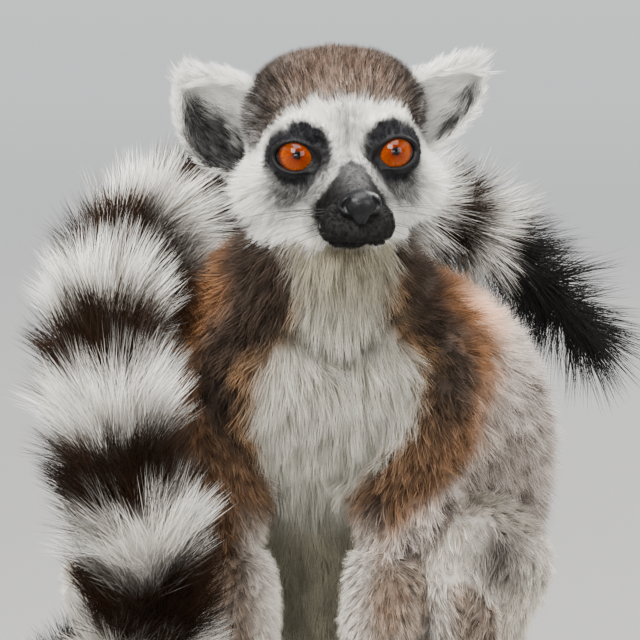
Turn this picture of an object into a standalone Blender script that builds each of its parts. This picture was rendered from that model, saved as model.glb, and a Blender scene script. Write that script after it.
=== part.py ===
"""Ring-tailed lemur, a still life-size model.

It sits on its rump with its knees up and its hands on the ground between its feet. The tail leaves the
rump, lies round the right leg, climbs in front of the right arm, crosses the nape and hangs behind the
left shoulder. +Z is up, the animal faces -Y and its left side is +X. The origin is the middle of the
flat on which the rump rests. Each solid reaches out to the tips of the coat.
"""

import math

import bmesh
import bpy
from mathutils import Matrix, Vector

MM = 0.001
GAP = 0.45 * MM  # clearance where one piece is fitted round the next
SIDEWAYS = Vector((1, 0, 0))

# The head, in millimetres from the point midway between the two corneas.
EYE_LEVEL = (11.5, -165.0, 226.0)
HEAD_YAW, HEAD_ROLL = 6.5, -1.8  # degrees, towards the animal's left and its left eye up
EYE_RADIUS = 7.8
EYE_SPREAD, EYE_DEPTH = 15.4, 7.0  # centre of each eyeball
NOSE = (0.0, -35.8, -14.2)

# The tail's middle line, from inside the rump to the end of the last hairs.
TAIL_ROUTE = (
    (-2, 32, 42), (-34, 48, 30), (-76, 32, 22), (-97, -14, 22), (-99, -62, 24), (-88, -104, 33),
    (-66, -136, 48), (-49, -154, 72), (-55, -160, 104), (-63, -156, 134), (-66.5, -146, 160),
    (-65, -129, 180), (-56, -107, 195), (-40, -86, 203), (0, -64, 206), (36, -55, 203), (56, -47, 197),
    (71, -40, 186), (84, -31, 169), (95, -22, 151), (104, -14, 132), (110, -8, 117),
)
TAIL_LENGTHS = 8
# Half thickness with the coat, at even steps from the rump to the tip.
TAIL_GIRTH = (15, 20, 22, 23, 25, 27, 27.5, 28, 27, 26, 25, 23, 20, 18, 13, 2.5)

FUR_COLOURS = {
    "grey_coat": (0.42, 0.36, 0.32), "brown_coat": (0.30, 0.18, 0.11), "white_coat": (0.80, 0.77, 0.71),
    "tail_coat": (0.12, 0.09, 0.08), "bare_skin": (0.06, 0.05, 0.05), "amber_eye": (0.75, 0.25, 0.03),
}


def at(x, y, z):
    """A point from millimetres."""
    return Vector((x, y, z)) * MM


def head_matrix():
    """The head's own axes: its forward is -Y, and its origin is midway between the eyes."""
    turn = Matrix.Rotation(math.radians(HEAD_YAW), 4, "Z")
    return Matrix.Translation(at(*EYE_LEVEL)) @ turn @ Matrix.Rotation(math.radians(HEAD_ROLL), 4, "Y")


def clear_scene():
    for obj in list(bpy.data.objects):
        bpy.data.objects.remove(obj, do_unlink=True)


def new_collection(name):
    collection = bpy.data.collections.new(name)
    bpy.context.scene.collection.children.link(collection)
    return collection


def coat_material(name):
    material = bpy.data.materials.get(name)
    if material:
        return material
    material = bpy.data.materials.new(name)
    material.use_nodes = True
    surface = material.node_tree.nodes["Principled BSDF"]
    surface.inputs["Base Color"].default_value = (*FUR_COLOURS[name], 1)
    surface.inputs["Roughness"].default_value = 0.25 if name == "amber_eye" else 0.9
    surface.inputs["Metallic"].default_value = 0.0
    return material


def add_object(name, mesh, colour=None):
    """Links a mesh as a node of the lemur or, with no colour, as a hidden tool."""
    obj = bpy.data.objects.new(name, mesh)
    if colour:
        bpy.data.collections["ring_tailed_lemur"].objects.link(obj)
        mesh.materials.append(coat_material(colour))
        mesh.shade_smooth()
    else:
        bpy.data.collections["tools"].objects.link(obj)
        obj.hide_render = True
        obj.display_type = "WIRE"
    return obj


def ring(centre, along, half_side, half_depth, sides):
    """Points of an ellipse square to the way the body part runs; half_side is measured sideways."""
    side = (SIDEWAYS - SIDEWAYS.project(along)).normalized()
    depth = along.cross(side).normalized()
    turns = [2 * math.pi * k / sides for k in range(sides)]
    return [centre + side * half_side * math.cos(t) + depth * half_depth * math.sin(t) for t in turns]


def loft(mesh_name, rings):
    """A closed mesh through rings of equal count, with flat ends."""
    form = bmesh.new()
    loops = [[form.verts.new(p) for p in points] for points in rings]
    for first, second in zip(loops, loops[1:]):
        for k in range(len(first)):
            n = (k + 1) % len(first)
            form.faces.new((first[k], first[n], second[n], second[k]))
    form.faces.new(loops[0])
    form.faces.new(loops[-1])
    bmesh.ops.recalc_face_normals(form, faces=form.faces)
    mesh = bpy.data.meshes.new(mesh_name)
    form.to_mesh(mesh)
    form.free()
    return mesh


def limb(name, stations, colour, hand=1, sides=7, levels=1):
    """A soft form on a coarse cage. A station is (x, y, z, half width, half depth) in millimetres."""
    swell = 6 / (4 + 2 * math.cos(2 * math.pi / sides)) if levels else 1  # the cage lies outside the form
    centres = [at(hand * s[0], s[1], s[2]) for s in stations]
    rings = []
    for i, station in enumerate(stations):
        along = (centres[min(i + 1, len(centres) - 1)] - centres[max(i - 1, 0)]).normalized()
        half_side, half_depth = station[3] * MM * swell, station[4] * MM * swell
        rings.append(ring(centres[i], along, half_side, half_depth, sides))
    obj = add_object(name, loft(name, rings), colour)
    if levels:
        soften = obj.modifiers.new("soften", "SUBSURF")
        soften.levels = soften.render_levels = levels
    return obj


def ellipsoids(name, forms, matrix, colour, segments=24):
    """Overlapping ellipsoids in one mesh. A form is (x, y, z, rx, ry, rz) in the matrix's own axes."""
    shape = bmesh.new()
    for x, y, z, rx, ry, rz in forms:
        place = matrix @ Matrix.Translation(at(x, y, z)) @ Matrix.Diagonal((rx * MM, ry * MM, rz * MM, 1))
        bmesh.ops.create_uvsphere(shape, u_segments=segments, v_segments=segments // 2, radius=1, matrix=place)
    mesh = bpy.data.meshes.new(name)
    shape.to_mesh(mesh)
    shape.free()
    return add_object(name, mesh, colour)


def tool_of(obj):
    """A hidden copy of the finished form, larger by the gap, which cuts its neighbours."""
    bpy.context.view_layer.update()
    evaluated = obj.evaluated_get(bpy.context.evaluated_depsgraph_get())
    form = bmesh.new()
    form.from_mesh(evaluated.to_mesh())
    evaluated.to_mesh_clear()
    form.normal_update()
    grown = [v.co + v.normal * GAP for v in form.verts]
    for vertex, place in zip(form.verts, grown):
        vertex.co = place
    mesh = bpy.data.meshes.new(obj.name + "_tool")
    form.to_mesh(mesh)
    form.free()
    return add_object(obj.name + "_tool", mesh)


def join_with(obj, operation, *others):
    for other in others:
        step = obj.modifiers.new(other.name, "BOOLEAN")
        step.operation = operation
        step.solver = "EXACT"
        step.object = other


def floor_tool():
    """What lies below the level on which the animal rests."""
    half, depth = 0.5, 0.1
    shape = bmesh.new()
    place = Matrix.Translation((0, 0, -depth / 2)) @ Matrix.Diagonal((2 * half, 2 * half, depth, 1))
    bmesh.ops.create_cube(shape, size=1, matrix=place)
    mesh = bpy.data.meshes.new("floor_tool")
    shape.to_mesh(mesh)
    shape.free()
    return add_object("floor_tool", mesh)


def make_trunk():
    return limb("trunk", (
        (0, -4, -8, 34, 28), (0, -2, 18, 58, 48), (0, -3, 50, 68, 53), (0, -8, 86, 83, 54),
        (0, -32, 121, 87.5, 50), (0, -74, 148, 79, 49), (0, -106, 159, 61, 42), (0, -134, 172, 34, 32),
        (0, -144, 178, 18, 18),
    ), "grey_coat", sides=10)


def make_neck():
    return limb("neck", (
        (0, -98, 158, 34, 32), (1, -112, 170, 41, 36), (4, -128, 185, 38, 36), (8, -144, 204, 32, 31),
        (9, -148, 216, 26, 25),
    ), "white_coat", sides=8)


def make_head():
    """Skull, brow, cheeks, jaw and muzzle run together into one form."""
    forms = [(0, 29, 2, 29, 34, 31.5), (0, 10, 5, 24, 18, 17), (0, 4, -20, 18, 26, 12), (0, -13, -22.5, 10, 14, 6)]
    forms += [(side * 16, 22, -11, 19, 22, 18) for side in (-1, 1)]
    forms += [(side * 12.5, 29, 11, 18, 28, 20) for side in (-1, 1)]  # the crown's broad sides
    steps = 6
    for k in range(steps + 1):  # the muzzle, from between the eyes to behind the nose
        t = k / steps
        forms.append((0, 4 - 31 * t, -9.5 - 7.5 * t, 19 - 7 * t, 10 - t, 15 - 5 * t))
    head = ellipsoids("head", forms, head_matrix(), "white_coat")
    merge = head.modifiers.new("merge", "REMESH")
    merge.mode = "VOXEL"
    merge.voxel_size = 2.0 * MM
    smooth = head.modifiers.new("smooth", "SMOOTH")
    smooth.factor = 0.5
    smooth.iterations = 8
    thin = head.modifiers.new("thin", "DECIMATE")
    thin.ratio = 0.075
    return head


def make_eye(name, hand):
    """An eyeball, and the tool that opens its socket and the gap between the lids."""
    centre = (hand * EYE_SPREAD, EYE_DEPTH, 0)
    eye = ellipsoids(name, [(*centre, *(EYE_RADIUS,) * 3)], head_matrix(), "amber_eye", segments=12)
    lids = ellipsoids(name + "_lids", [(hand * 17.5, -3, -0.3, 7.4, 8, 5.6)], head_matrix(), None, segments=12)
    return eye, lids


def make_ear(name, hand):
    """A cup that opens forwards and outwards, furred on its rim and back."""
    tilt = Matrix.Rotation(math.radians(hand * 22), 4, "Z") @ Matrix.Rotation(math.radians(hand * 38), 4, "Y")
    place = head_matrix() @ Matrix.Translation(at(hand * 36, 34, 12)) @ tilt
    ear = ellipsoids(name, [(0, 0, 0, 14.5, 8.5, 20)], place, "white_coat", segments=14)
    hollow = ellipsoids(name + "_hollow", [(0, -9, -1, 10.5, 11, 15.5)], place, None, segments=12)
    join_with(ear, "DIFFERENCE", hollow)
    return ear


def make_upper_arm(name, hand):
    return limb(name, (
        (37, -100, 168, 19, 17), (37, -108, 156, 25, 25), (34, -113, 132, 21.5, 23),
        (27, -106, 104, 17, 17.5), (25, -102, 91, 13, 13),
    ), "brown_coat", hand)


def make_forearm(name, hand):
    return limb(name, (
        (26, -104, 99, 8, 8), (25, -105, 90, 15, 15), (23, -111, 72, 15, 15), (20, -122, 42, 11.5, 11.5),
        (19, -130, 16, 8.5, 8.5),
    ), "brown_coat", hand)


def digit(name, root, tip, thickness, hand):
    """A finger or toe that lies along the ground, with its bent knuckle and its pad."""
    root, tip = Vector(root), Vector(tip)
    shares = ((0.0, 1.0, 0), (0.45, 1.0, 1.2), (0.8, 0.9, 0), (0.97, 0.75, 0), (1.0, 0.3, 0))
    stations = []
    for along, girth, lift in shares:
        place = root.lerp(tip, along)
        stations.append((place.x, place.y, place.z + lift, thickness * girth, thickness * girth))
    return limb(name, stations, None, hand, sides=6, levels=0)


def add_digits(obj, hand, roots, reach, spread, lengths, thickness):
    """Four fingers or toes in a fan from a middle point. roots are their distances from the middle line."""
    x, y, z = reach
    for k, (aside, length) in enumerate(zip(roots, lengths)):
        tip = (x + aside * spread, y - length, 0.7 * thickness)
        finger = digit(f"{obj.name}_digit_{k}", (x + aside, y + 6, z), tip, thickness, hand)
        join_with(obj, "UNION", finger)


def make_hand(name, hand):
    palm = limb(name, (
        (19, -124, 22, 6, 6), (19, -131, 14, 8.5, 8), (19, -141, 9.2, 10.5, 8), (19, -153, 6.2, 12.5, 7),
        (19.5, -162, 5.2, 11.5, 6), (19.5, -166, 4.5, 8, 4),
    ), "bare_skin", hand, sides=10, levels=0)
    add_digits(palm, hand, (-8.6, -2.9, 3.1, 9.0), (19, -158, 4.6), 1.65, (24, 29, 30, 25), 3.3)
    join_with(palm, "UNION", digit(name + "_thumb", (13, -142, 6), (5.2, -163, 2.6), 3.5, hand))
    return palm


def make_thigh(name, hand):
    return limb(name, (
        (32, -2, 46, 30, 32), (43, -26, 63, 46, 40), (51, -66, 84, 36.5, 34), (51, -105, 93, 21, 20),
        (50, -118, 94, 12, 12),
    ), "grey_coat", hand)


def make_shank(name, hand):
    return limb(name, (
        (50, -112, 94, 12, 12), (50, -108, 83, 17, 16), (50, -90, 60, 15, 15), (52, -60, 32, 11, 12),
        (54, -43, 17, 8, 9),
    ), "grey_coat", hand)


def make_foot(name, hand):
    sole = limb(name, (
        (54, -32, 12, 6, 7), (54, -38, 12, 9.5, 10.5), (54, -54, 12, 10.5, 11.5), (55, -74, 10, 11, 10),
        (56, -94, 8, 13, 8.5), (57, -106, 6.5, 12.5, 6), (57, -111, 6, 9, 4),
    ), "bare_skin", hand, sides=10, levels=0)
    add_digits(sole, hand, (-6.5, -0.5, 5.5, 11.0), (56, -103, 4.8), 1.5, (27, 31, 32, 27), 3.6)
    join_with(sole, "UNION", digit(name + "_great_toe", (48, -82, 6.4), (33, -106, 3.4), 4.6, hand))
    return sole


def curve_point(route, position):
    """A point on the smooth line through the route; position runs from 0 to the number of spans."""
    last = len(route) - 1
    span = min(int(position), last - 1)
    t = position - span
    before, start, end, after = (route[min(max(span + k, 0), last)] for k in (-1, 0, 1, 2))
    return 0.5 * (
        2 * start + (end - before) * t + (2 * before - 5 * start + 4 * end - after) * t**2
        + (3 * start - before - 3 * end + after) * t**3
    )


def even_line(route, count):
    """Points at even distances along the smooth line through the route."""
    fine = [curve_point(route, k / 40) for k in range(40 * (len(route) - 1) + 1)]
    run = [0.0]
    for a, b in zip(fine, fine[1:]):
        run.append(run[-1] + (b - a).length)
    points, k = [], 0
    for n in range(count):
        wanted = run[-1] * n / (count - 1)
        while k < len(run) - 2 and run[k + 1] < wanted:
            k += 1
        points.append(fine[k].lerp(fine[k + 1], (wanted - run[k]) / (run[k + 1] - run[k])))
    return points


def girth_at(share):
    place = share * (len(TAIL_GIRTH) - 1)
    low = min(int(place), len(TAIL_GIRTH) - 2)
    return (TAIL_GIRTH[low] + (TAIL_GIRTH[low + 1] - TAIL_GIRTH[low]) * (place - low)) * MM


def make_tail():
    """The tail in equal lengths, each with flat ends square to the middle line."""
    steps, sides = 5, 12
    total = TAIL_LENGTHS * steps
    line = even_line([at(*p) for p in TAIL_ROUTE], total + 1)
    tangents = [(line[min(k + 1, total)] - line[max(k - 1, 0)]).normalized() for k in range(total + 1)]
    side = tangents[0].cross(Vector((0, 0, 1))).normalized()
    rings = []
    for k, (centre, along) in enumerate(zip(line, tangents)):
        side = (side - side.project(along)).normalized()  # carried along, so that the tube doesn't twist
        across = along.cross(side)
        turns = [2 * math.pi * n / sides for n in range(sides)]
        girth = girth_at(k / total)
        rings.append([centre + (side * math.cos(t) + across * math.sin(t)) * girth for t in turns])
    pieces = []
    for n in range(TAIL_LENGTHS):
        part = [list(r) for r in rings[n * steps:(n + 1) * steps + 1]]
        if n:
            part[0] = [p + tangents[n * steps] * GAP for p in part[0]]
        pieces.append(add_object(f"tail_{n + 1}", loft(f"tail_{n + 1}", part), "tail_coat"))
    return pieces


def boxes_meet(first, second, margin):
    """Whether the boxes round two objects overlap or lie within the margin."""
    spans = []
    for obj in (first, second):
        corners = [v.co for v in obj.data.vertices]
        spans.append([(min(c[i] for c in corners), max(c[i] for c in corners)) for i in range(3)])
    return all(a[0] - margin < b[1] and b[0] - margin < a[1] for a, b in zip(*spans))


def main():
    clear_scene()
    new_collection("ring_tailed_lemur")
    new_collection("tools")
    floor = floor_tool()

    # Each piece is cut by those made before it, so the order is that in which the coat overlaps.
    fitted, tools = [], []

    def fit(obj, *openings):
        tool = tool_of(obj)
        join_with(obj, "DIFFERENCE", *openings, *(t for t in tools if boxes_meet(t, tool, 0)))
        if min(v.co.z for v in tool.data.vertices) < 0:
            join_with(obj, "DIFFERENCE", floor)
        tools.append(tool)
        fitted.append(obj)

    eyes = [make_eye("eye_left", 1), make_eye("eye_right", -1)]
    for eye, _ in eyes:
        fit(eye)
    nose = ellipsoids("nose", [(*NOSE, 6.3, 4.4, 5.0)], head_matrix(), "bare_skin", segments=12)
    fit(nose)
    fit(make_head(), *(lids for _, lids in eyes))
    fit(make_trunk())
    fit(make_neck())
    sides = (("left", 1), ("right", -1))
    for name, hand in sides:
        ear = make_ear("ear_" + name, hand)
        fit(ear)
    for name, hand in sides:
        fit(make_upper_arm("upper_arm_" + name, hand))
        fit(make_forearm("forearm_" + name, hand))
        fit(make_hand("hand_" + name, hand))
    for name, hand in sides:
        fit(make_thigh("thigh_" + name, hand))
        fit(make_shank("shank_" + name, hand))
        fit(make_foot("foot_" + name, hand))
    for piece in make_tail():
        fit(piece)
        tools.pop()  # the lengths meet end to end


main()
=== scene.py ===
# Ring-tailed lemur sitting with its tail over its shoulders: one skin, its coat in tufts, eyes, nose and nails.
import math
import time

import bmesh
import bpy
import numpy as np
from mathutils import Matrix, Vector
from mathutils.bvhtree import BVHTree


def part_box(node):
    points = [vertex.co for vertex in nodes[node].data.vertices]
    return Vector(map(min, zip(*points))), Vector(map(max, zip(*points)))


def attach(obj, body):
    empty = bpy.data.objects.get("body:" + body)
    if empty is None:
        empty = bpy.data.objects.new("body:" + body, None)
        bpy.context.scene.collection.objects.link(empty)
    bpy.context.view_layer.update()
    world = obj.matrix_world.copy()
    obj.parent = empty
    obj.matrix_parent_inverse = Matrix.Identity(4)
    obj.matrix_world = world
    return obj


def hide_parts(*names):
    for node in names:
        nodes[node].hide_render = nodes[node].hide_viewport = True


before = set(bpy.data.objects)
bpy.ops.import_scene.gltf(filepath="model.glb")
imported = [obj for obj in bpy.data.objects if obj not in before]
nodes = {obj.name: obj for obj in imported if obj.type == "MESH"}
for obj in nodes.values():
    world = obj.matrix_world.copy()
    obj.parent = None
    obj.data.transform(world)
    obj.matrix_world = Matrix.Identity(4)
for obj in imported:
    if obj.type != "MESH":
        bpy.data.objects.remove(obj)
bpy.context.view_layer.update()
rng = np.random.default_rng(7)
began = time.time()


def report(words):
    print(f"{time.time() - began:6.1f} s  {words}")


# Lengths are in metres, and in millimetres where a name or a note says so.
mm = 0.001
worldUp = np.array([0.0, 0.0, 1.0])


def linear(hexColour):
    parts = [int(hexColour[i:i + 2], 16) / 255 for i in (1, 3, 5)]
    return np.array([((c + 0.055) / 1.055) ** 2.4 if c > 0.04045 else c / 12.92 for c in parts])


def opaque(hexColour):
    return (*linear(hexColour), 1)


def withAlpha(colours):
    return np.column_stack([colours, np.ones(len(colours))])


def middleOf(name):
    low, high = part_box(name)
    return np.array((low + high) / 2)


def unit(vectors):
    return vectors / np.maximum(np.linalg.norm(vectors, axis=-1, keepdims=True), 1e-9)


def ease(low, high, value):
    # rises smoothly from 0 at low to 1 at high, and falls where low is above high
    t = np.clip((value - low) / (high - low), 0, 1)
    return t * t * (3 - 2 * t)


def hump(value, middle, width):
    return np.exp(-(((value - middle) / width) ** 2))


def readPoints(mesh):
    flat = np.empty(len(mesh.vertices) * 3)
    mesh.vertices.foreach_get("co", flat)
    return flat.reshape(-1, 3)


def readNormals(mesh):
    flat = np.empty(len(mesh.vertices) * 3)
    mesh.vertex_normals.foreach_get("vector", flat)
    return flat.reshape(-1, 3)


def writePoints(mesh, places):
    mesh.vertices.foreach_set("co", np.ascontiguousarray(places, dtype=np.float64).ravel())
    mesh.update()


def edgesOf(mesh):
    flat = np.empty(len(mesh.edges) * 2, dtype=np.int32)
    mesh.edges.foreach_get("vertices", flat)
    return flat.reshape(-1, 2)


def softened(values, edges, rounds, share=0.5):
    # each value moves towards the mean of its neighbours
    values = values.astype(float).copy()
    columns = values.reshape(len(values), -1)
    both = np.concatenate([edges, edges[:, ::-1]])
    degree = np.maximum(np.bincount(both[:, 0], minlength=len(values)), 1)
    for _ in range(rounds):
        for k in range(columns.shape[1]):
            mean = np.bincount(both[:, 0], weights=columns[both[:, 1], k], minlength=len(values)) / degree
            columns[:, k] += share * (mean - columns[:, k])
    return values


def newMesh(name, points, faces):
    mesh = bpy.data.meshes.new(name)
    mesh.from_pydata([tuple(p) for p in points], [], faces)
    mesh.update()
    return mesh


def tubeFaces(sides, steps, first=0):
    # the four-sided faces between one ring of points and the next
    return [[first + sides * r + k, first + sides * r + (k + 1) % sides,
             first + sides * (r + 1) + (k + 1) % sides, first + sides * (r + 1) + k]
            for r in range(steps) for k in range(sides)]


def addPiece(name, mesh):
    obj = bpy.data.objects.new(name, mesh)
    bpy.context.scene.collection.objects.link(obj)
    return obj


def bakedMesh(obj):
    # the object with its modifiers applied, as a plain mesh
    bpy.context.view_layer.update()
    return bpy.data.meshes.new_from_object(obj.evaluated_get(bpy.context.evaluated_depsgraph_get()))


def modified(mesh, kind, **settings):
    obj = addPiece("work", mesh)
    modifier = obj.modifiers.new("work", kind)
    for key, value in settings.items():
        setattr(modifier, key, value)
    result = bakedMesh(obj)
    bpy.data.objects.remove(obj)
    return result


def setAttribute(mesh, name, kind, values, domain="POINT"):
    layer = mesh.attributes.new(name, kind, domain)
    field = {"FLOAT": "value", "FLOAT_VECTOR": "vector", "FLOAT_COLOR": "color", "FLOAT2": "vector"}[kind]
    layer.data.foreach_set(field, np.ascontiguousarray(values, dtype=np.float32).ravel())


# the head's own axes: x to its left, y backwards, z up, in mm from between the corneas
eye = {"radius": 7.8, "spread": 15.4, "behindCornea": 7.0}
noseFromEyes = (42.8, -14.2)  # how far the nose lies in front of and above the eyeballs' middles, in mm

eyeMiddles = {1: middleOf("eye_left"), -1: middleOf("eye_right")}
betweenEyes = (eyeMiddles[1] + eyeMiddles[-1]) / 2
headX = unit(eyeMiddles[1] - eyeMiddles[-1])
toNose = middleOf("nose") - betweenEyes
toNose = unit(toNose - headX * toNose.dot(headX))
slope = math.atan2(-noseFromEyes[1], noseFromEyes[0])
rise = np.cross(headX, -toNose)
headY = -toNose * math.cos(slope) - rise * math.sin(slope)
headZ = -toNose * math.sin(slope) + rise * math.cos(slope)
headAxes = np.stack([headX, headY, headZ])  # rows
headOrigin = betweenEyes - headY * eye["behindCornea"] * mm


def toHead(points):
    return (points - headOrigin) @ headAxes.T / mm


def fromHead(places):
    return np.asarray(places, dtype=float) * mm @ headAxes + headOrigin


# smooth forms, in mm: below nought is inside
def ovalForm(p, middle, radii):
    q = p - np.array(middle)
    radii = np.array(radii, dtype=float)
    near = np.linalg.norm(q / radii, axis=1)
    steep = np.linalg.norm(q / radii**2, axis=1)
    return near * (near - 1) / np.maximum(steep, 1e-6)


def taperForm(p, start, end, startRadius, endRadius):
    start, end = np.array(start, dtype=float), np.array(end, dtype=float)
    run = end - start
    t = np.clip((p - start) @ run / run.dot(run), 0, 1)
    return np.linalg.norm(p - start - t[:, None] * run, axis=1) - startRadius - (endRadius - startRadius) * t


def merged(a, b, fillet):
    t = np.clip(0.5 + 0.5 * (b - a) / fillet, 0, 1)
    return b * (1 - t) + a * t - fillet * t * (1 - t)


def carved(a, b, fillet):
    return -merged(-a, b, fillet)


def joinedForms(p, forms):
    # each entry: the kind of form, its fillet with those before it, and its measures
    total = None
    for form, fillet, *measures in forms:
        own = form(p, *measures)
        total = own if total is None else merged(total, own, fillet)
    return total


lid = {
    "thickness": 1.0, "outward": 10.0, "innerWidth": 52.0, "outerWidth": 53.0,  # angles in degrees at the eyeball
    "upper": 33.0, "lower": 36.0, "innerDrop": 11.0, "roundness": 1.8, "edgeScale": 4.8,
    "creases": ((2.1, 0.5), (3.4, 0.35), (4.6, 0.2)),  # distance above the upper lid's edge, and depth, in mm
}


def eyePlace(q):
    # for points with x folded to one side: distance from the eyeball's middle, and from the lids' edge
    v = q - np.array([eye["spread"], eye["behindCornea"], 0])
    turn = math.radians(lid["outward"])
    ahead = v[:, 0] * math.sin(turn) - v[:, 1] * math.cos(turn)
    aside = v[:, 0] * math.cos(turn) + v[:, 1] * math.sin(turn)
    far = np.maximum(np.linalg.norm(v, axis=1), 1e-6)
    across = np.arctan2(aside, ahead)
    width = np.where(across > 0, math.radians(lid["outerWidth"]), math.radians(lid["innerWidth"]))
    drop = math.radians(lid["innerDrop"]) * np.clip(-across / width, 0, 1.2) ** 1.5
    height = np.arcsin(np.clip(v[:, 2] / far, -1, 1)) + drop
    tall = np.where(height > 0, math.radians(lid["upper"]), math.radians(lid["lower"]))
    power = lid["roundness"]
    edge = (np.abs(across / width) ** power + np.abs(height / tall) ** power) ** (1 / power) - 1
    return far, edge * lid["edgeScale"], height


headForms = (
    (ovalForm, 0, (0, 30, 1.5), (25.5, 30, 29.0)),  # skull
    (ovalForm, 6, (0, 11.5, 5.5), (21.5, 14.5, 13)),  # brow
    (ovalForm, 5, (12, 29, 9.5), (14.5, 25, 18.2)),  # crown
    (ovalForm, 7, (15.5, 22, -10.5), (14.5, 17, 12.5)),  # cheek
    (ovalForm, 7, (0, 8, -19), (14, 20, 9.5)),  # throat
    (taperForm, 5, (0, 2, -5), (0, -28, -12.2), 8.0, 4.8),  # bridge of the nose
    (taperForm, 5, (0, 6, -12), (0, -18, -17.5), 12.5, 7.5),  # muzzle
    (ovalForm, 2.5, (5.9, -22.5, -20.7), (5.9, 9.5, 6.6)),  # whisker pad
    (ovalForm, 2, (0, -28.5, -21.2), (7.5, 5.6, 5.7)),  # upper lip
    (taperForm, 1.2, (0, 8, -21.5), (0, -21, -23.6), 8, 4.0),  # lower jaw
)
mouth = {"corner": -3.0, "front": -25.9, "rise": 2.6, "depth": 0.9, "width": 0.5, "groove": 0.6, "grooveWidth": 0.7}


def headForm(p):
    q = p.copy()
    q[:, 0] = np.abs(q[:, 0])
    d = joinedForms(q, headForms)
    # the mouth's line, which runs back a little way and turns up at its corner
    back = np.clip((q[:, 1] + 30) / (mouth["corner"] + 30), 0, 1)
    line = mouth["front"] + mouth["rise"] * back**2
    along = 1 - ease(mouth["corner"] - 2, mouth["corner"] + 1.5, q[:, 1])
    d = d + mouth["depth"] * along * hump(q[:, 2], line, mouth["width"])
    # the groove below the nose
    d = d + mouth["groove"] * hump(q[:, 0], 0, mouth["grooveWidth"]) * (1 - ease(-29, -26, q[:, 1])) * (
        ease(-24, -22, q[:, 2])) * ease(-15, -17, q[:, 2])
    # lids: a shell round the eyeball with an opening, and creases above it
    far, edge, height = eyePlace(q)
    d = merged(d, far - eye["radius"] - lid["thickness"], 2.0)
    upper = ease(-0.1, 0.35, height) * (1 - ease(12, 15, far))
    for gap, depth in lid["creases"]:
        d = d + depth * upper * hump(edge, gap, 0.42)
    d = d - 0.15 * hump(edge, 0.5, 0.5) * (1 - ease(11, 13, far))
    ahead = q[:, 1] < eye["behindCornea"] + 2
    floor = eye["radius"] - 0.7 + 2.0 * ease(-1.2, -0.1, edge) * ease(16, 9, q[:, 0])  # a tear corner
    hole = np.maximum(np.maximum(edge, floor - far), np.where(ahead, far - 11.5, 50.0))
    return carved(d, hole, 0.45)


def surfaceOf(form, low, high, step):
    # a mesh where the form is nought: one point in each grid cell that the surface crosses
    ticks = [np.arange(a, b, step) for a, b in zip(low, high)]
    grid = np.stack(np.meshgrid(*ticks, indexing="ij"), axis=-1)
    value = np.concatenate([form(layer.reshape(-1, 3)) for layer in grid]).reshape(grid.shape[:3])
    inside = value < 0
    total, count = np.zeros([n - 1 for n in value.shape] + [3]), np.zeros([n - 1 for n in value.shape])
    quads = []
    cell = np.arange(count.size).reshape(count.shape)
    for axis in range(3):
        i, j, k = np.nonzero(np.diff(inside, axis=axis))
        nextTo = [i, j, k]
        nextTo[axis] = nextTo[axis] + 1
        here, there = value[i, j, k], value[tuple(nextTo)]
        share = (here / (here - there))[:, None]
        cross = grid[i, j, k] * (1 - share) + grid[tuple(nextTo)] * share
        u, w = [a for a in range(3) if a != axis]
        ring = []
        for du, dw in ((0, 0), (1, 0), (1, 1), (0, 1)):
            place = [i, j, k]
            place[u], place[w] = place[u] - du, place[w] - dw
            np.add.at(total, tuple(place), cross)
            np.add.at(count, tuple(place), 1)
            ring.append(cell[tuple(place)])
        ring = np.stack(ring, axis=1)
        flip = (here < 0) == (axis != 1)
        ring[flip] = ring[flip][:, ::-1]
        quads.append(ring)
    used = np.nonzero(count.ravel())[0]
    points = total.reshape(-1, 3)[used] / count.ravel()[used][:, None]
    number = np.zeros(count.size, dtype=int)
    number[used] = np.arange(len(used))
    return points, number[np.concatenate(quads)].tolist()


def projected(p, form, rounds, limit=1.5):
    # moves points onto a form's surface, and gives their last distance from it
    p = p.copy()
    step = 0.08
    for _ in range(rounds):
        here = form(p)
        slopeOf = np.stack([form(p + step * axis) - form(p - step * axis) for axis in np.eye(3)], axis=1) / (2 * step)
        steep = np.maximum((slopeOf**2).sum(axis=1), 0.2)
        p -= slopeOf * np.clip(here / steep, -limit, limit)[:, None]
    return p, form(p)


# how far the skin lies inside the CAD solid, in mm
coatDepth = {
    "trunk": 5.5, "neck": 10, "head": 8.5, "ear": 8, "upper_arm": 4.5, "forearm": 3.6, "hand": 0.5,
    "thigh": 5.5, "shank": 4, "foot": 0.6, "tail": 14,
}
skin = {"voxel": 1.4 * mm, "swell": 0.6 * mm, "fineSwell": 0.25 * mm, "smoothing": 60, "steps": 5, "kept": 0.38}


def kindOf(name):
    return next(kind for kind in sorted(coatDepth, key=len, reverse=True) if name.startswith(kind))


fleshNames = [n for n in sorted(nodes) if not n.startswith(("eye", "nose"))]
bodyNames = [n for n in fleshNames if kindOf(n) not in ("ear", "tail")]
tailNames = sorted(n for n in fleshNames if kindOf(n) == "tail")


def nodesOf(*kindsWanted):
    return [n for n in fleshNames if kindOf(n) in kindsWanted]


def declared(piece, slot, *standsFor):
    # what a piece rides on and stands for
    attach(piece, "root")
    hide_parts(*standsFor)


def nodeShell(name, grow):
    form = bmesh.new()
    form.from_mesh(nodes[name].data)
    bmesh.ops.remove_doubles(form, verts=form.verts, dist=1e-6)
    form.normal_update()
    points = np.array([v.co + v.normal * grow for v in form.verts])
    faces = [[v.index for v in f.verts] for f in form.faces]
    form.free()
    return points, faces


def joinedMesh(name, shells):
    points, faces, count = [], [], 0
    for shellPoints, shellFaces in shells:
        points.append(shellPoints)
        faces += [[i + count for i in face] for face in shellFaces]
        count += len(shellPoints)
    return newMesh(name, np.concatenate(points), faces)


def shellOf(mesh):
    return readPoints(mesh), [list(p.vertices) for p in mesh.polygons]


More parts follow.
